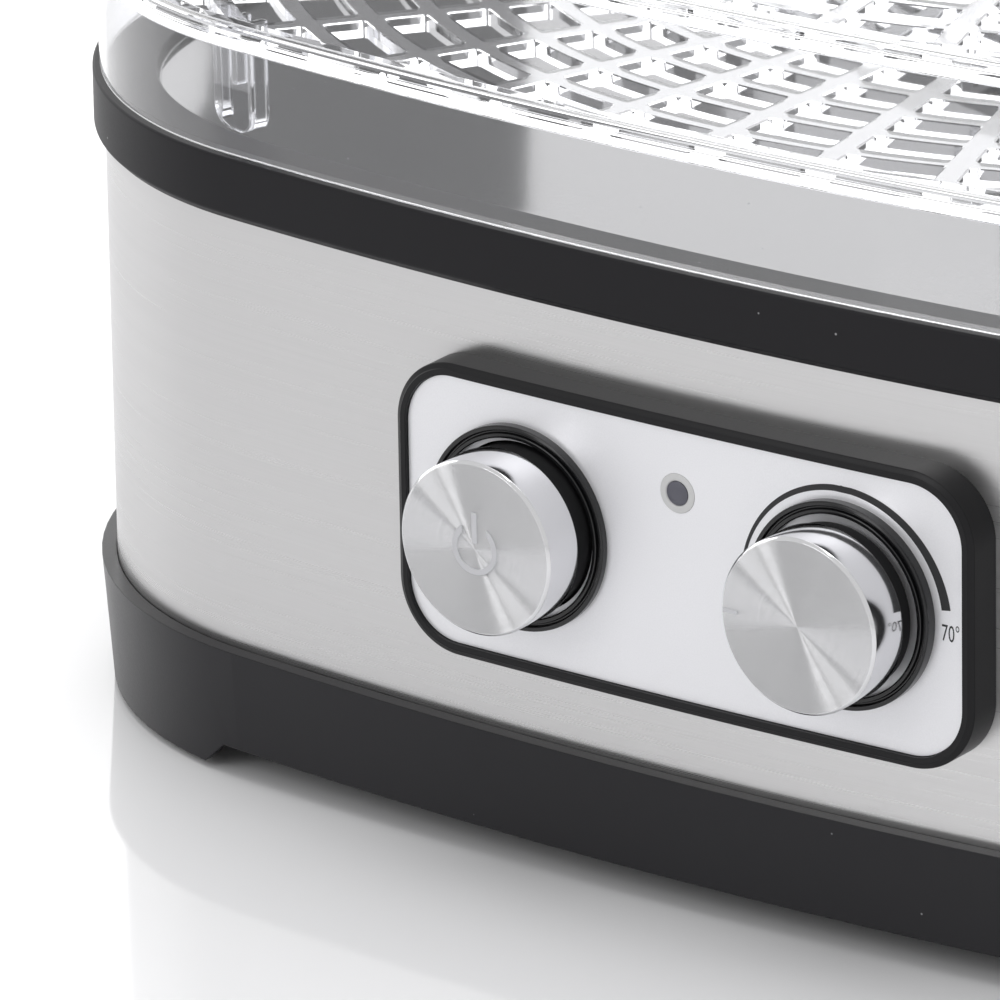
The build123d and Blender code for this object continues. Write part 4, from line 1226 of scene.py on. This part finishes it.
# ---------------------------------------------------------------- studio
@dataclass
class Studio:
    """Pale floor, white surroundings, soft lamps and the camera."""

    azimuth: float = 36.30
    elevation: float = 20.48
    roll: float = -0.965
    distance: float = 2.3237
    lens: float = 430.5
    aside: float = 0.03465
    above: float = 0.01267
    panel_distance: float = 1.6
    panel_height: float = 1.05
    panel_gap: tuple[float, float] = (-0.137, -0.020)

    def build(self) -> None:
        """Makes the stage, the lamps and the camera."""
        self.make_world()
        self.make_floor()
        self.make_lamps()
        self.make_camera()
        bpy.context.scene.view_settings.view_transform = "Standard"

    def make_world(self) -> None:
        """Even white surroundings."""
        world = bpy.data.worlds.new("Studio")
        world.use_nodes = True
        world.node_tree.nodes["Background"].inputs["Color"].default_value = (1.0, 1.0, 1.0, 1.0)
        world.node_tree.nodes["Background"].inputs["Strength"].default_value = 0.72
        bpy.context.scene.world = world

    def make_floor(self) -> None:
        """Large pale floor with a soft gloss."""
        graph = Graph("Pale floor")
        broad = graph.noise(graph.place(), 1.5, 2)
        material = graph.principled({"Base Color": graph.blend(broad, (0.85, 0.85, 0.86), (0.88, 0.88, 0.89)),
                                     "Roughness": 0.05 + broad * 0.03, "Specular IOR Level": 0.5})
        mesh = bpy.data.meshes.new("floor")
        half = 6.0
        corners = [(-half, -half, 0), (half, -half, 0), (half, half, 0), (-half, half, 0)]
        mesh.from_pydata(corners, [], [(0, 1, 2, 3)])
        mesh.materials.append(material)
        floor = bpy.data.objects.new("floor", mesh)
        bpy.context.scene.collection.objects.link(floor)

    def lamp(self, name: str, place: Vector, target: Vector, size: tuple[float, float],
             brightness: float) -> None:
        """Rectangular soft lamp facing a target, of even brightness in W per square metre and steradian."""
        data = bpy.data.lights.new(name, "AREA")
        data.shape = "RECTANGLE"
        data.size, data.size_y = size
        data.energy = brightness * math.pi * size[0] * size[1]
        lamp = bpy.data.objects.new(name, data)
        lamp.location = place
        lamp.rotation_euler = (target - place).to_track_quat("-Z", "Y").to_euler()
        bpy.context.scene.collection.objects.link(lamp)

    def make_lamps(self) -> None:
        """A soft lamp overhead, softboxes left and in front, and two bright panels behind."""
        middle = Vector((0, 0, 0.12))
        self.lamp("overhead", Vector((0.1, -0.1, 1.7)), middle, (1.3, 1.3), 1.9)
        self.lamp("left_box", Vector((-1.45, 0.25, 0.62)), middle, (1.3, 1.1), 1.0)
        self.lamp("front_box", Vector((-0.42, -1.6, 0.95)), middle, (0.75, 0.9), 2.6)
        back, right, _ = self.axes()
        away = Vector((-back.x, -back.y, back.z))
        deck = Vector((0.0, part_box("top_deck")[0].y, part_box("top_deck")[1].z))
        behind = deck + away * self.panel_distance
        left_edge, right_edge = self.panel_gap
        for name, near, wide, way in (("back_left", left_edge, 0.35, -1), ("back_right", right_edge, 0.7, 1)):
            place = behind + right * (near + way * wide / 2)
            self.lamp(name, place, place - Vector((away.x, away.y, 0.0)), (wide, self.panel_height), 1.65)
        self.make_flag(behind, right)

    def make_flag(self, behind: Vector, right: Vector) -> None:
        """Grey board filling the gap between the two panels behind, seen in polished surfaces only.

        Args:
            behind: Middle of the panels' plane.
            right: Level direction to the camera's right.
        """
        left_edge, right_edge = self.panel_gap
        half = self.panel_height / 2
        places = ((left_edge, -half), (right_edge, -half), (right_edge, half), (left_edge, half))
        corners = [behind + right * x + Vector((0.0, 0.0, z)) for x, z in places]
        mesh = bpy.data.meshes.new("grey_flag")
        mesh.from_pydata(corners, [], [(0, 1, 2, 3)])
        grey = {"Base Color": (0.12, 0.12, 0.123, 1.0), "Roughness": 0.8}
        mesh.materials.append(Graph("Grey board").principled(grey))
        flag = bpy.data.objects.new("grey_flag", mesh)
        for kind in ("camera", "transmission", "diffuse", "shadow"):
            setattr(flag, f"visible_{kind}", False)
        bpy.context.scene.collection.objects.link(flag)

    def axes(self) -> tuple[Vector, Vector, Vector]:
        """Level camera directions: backwards, to the right and up."""
        az, el = math.radians(self.azimuth), math.radians(self.elevation)
        back = Vector((math.sin(az) * math.cos(el), -math.cos(az) * math.cos(el), math.sin(el)))
        right = Vector((math.cos(az), math.sin(az), 0.0))
        return back, right, back.cross(right)

    def make_camera(self) -> None:
        """Long lens square to the viewing direction, aimed beside the panel's middle."""
        low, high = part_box("control_panel")
        target = Vector((0.0, low.y, (low.z + high.z) / 2))
        roll = math.radians(self.roll)
        back, right, up = self.axes()
        right, up = right * math.cos(roll) + up * math.sin(roll), up * math.cos(roll) - right * math.sin(roll)
        data = bpy.data.cameras.new("camera")
        data.lens, data.sensor_width = self.lens, 36.0
        data.clip_start, data.clip_end = 0.1, 20.0
        camera = bpy.data.objects.new("camera", data)
        camera.matrix_world = Matrix((right, up, back)).transposed().to_4x4()
        camera.location = target + back * self.distance - right * self.aside + up * self.above
        bpy.context.scene.collection.objects.link(camera)
        bpy.context.scene.camera = camera


def main() -> None:
    """Builds the scene sub-assembly by sub-assembly."""
    logging.basicConfig(level=logging.INFO, format="%(name)s: %(message)s")
    plan = body_plan()
    Studio().build()
    BaseShell(plan).build()
    panel = ControlPanel()
    panel.build()
    Knob(panel, "power_button", "power_button", "power_button_cap", "power_button_core",
         "power_symbol").build()
    Knob(panel, "thermostat", "thermostat_knob", "thermostat_knob_cap", "thermostat_knob_core",
         "thermostat_pointer").build()
    TrayStack(plan).build()
    Workings().build()


if __name__ == "__main__":
    main()
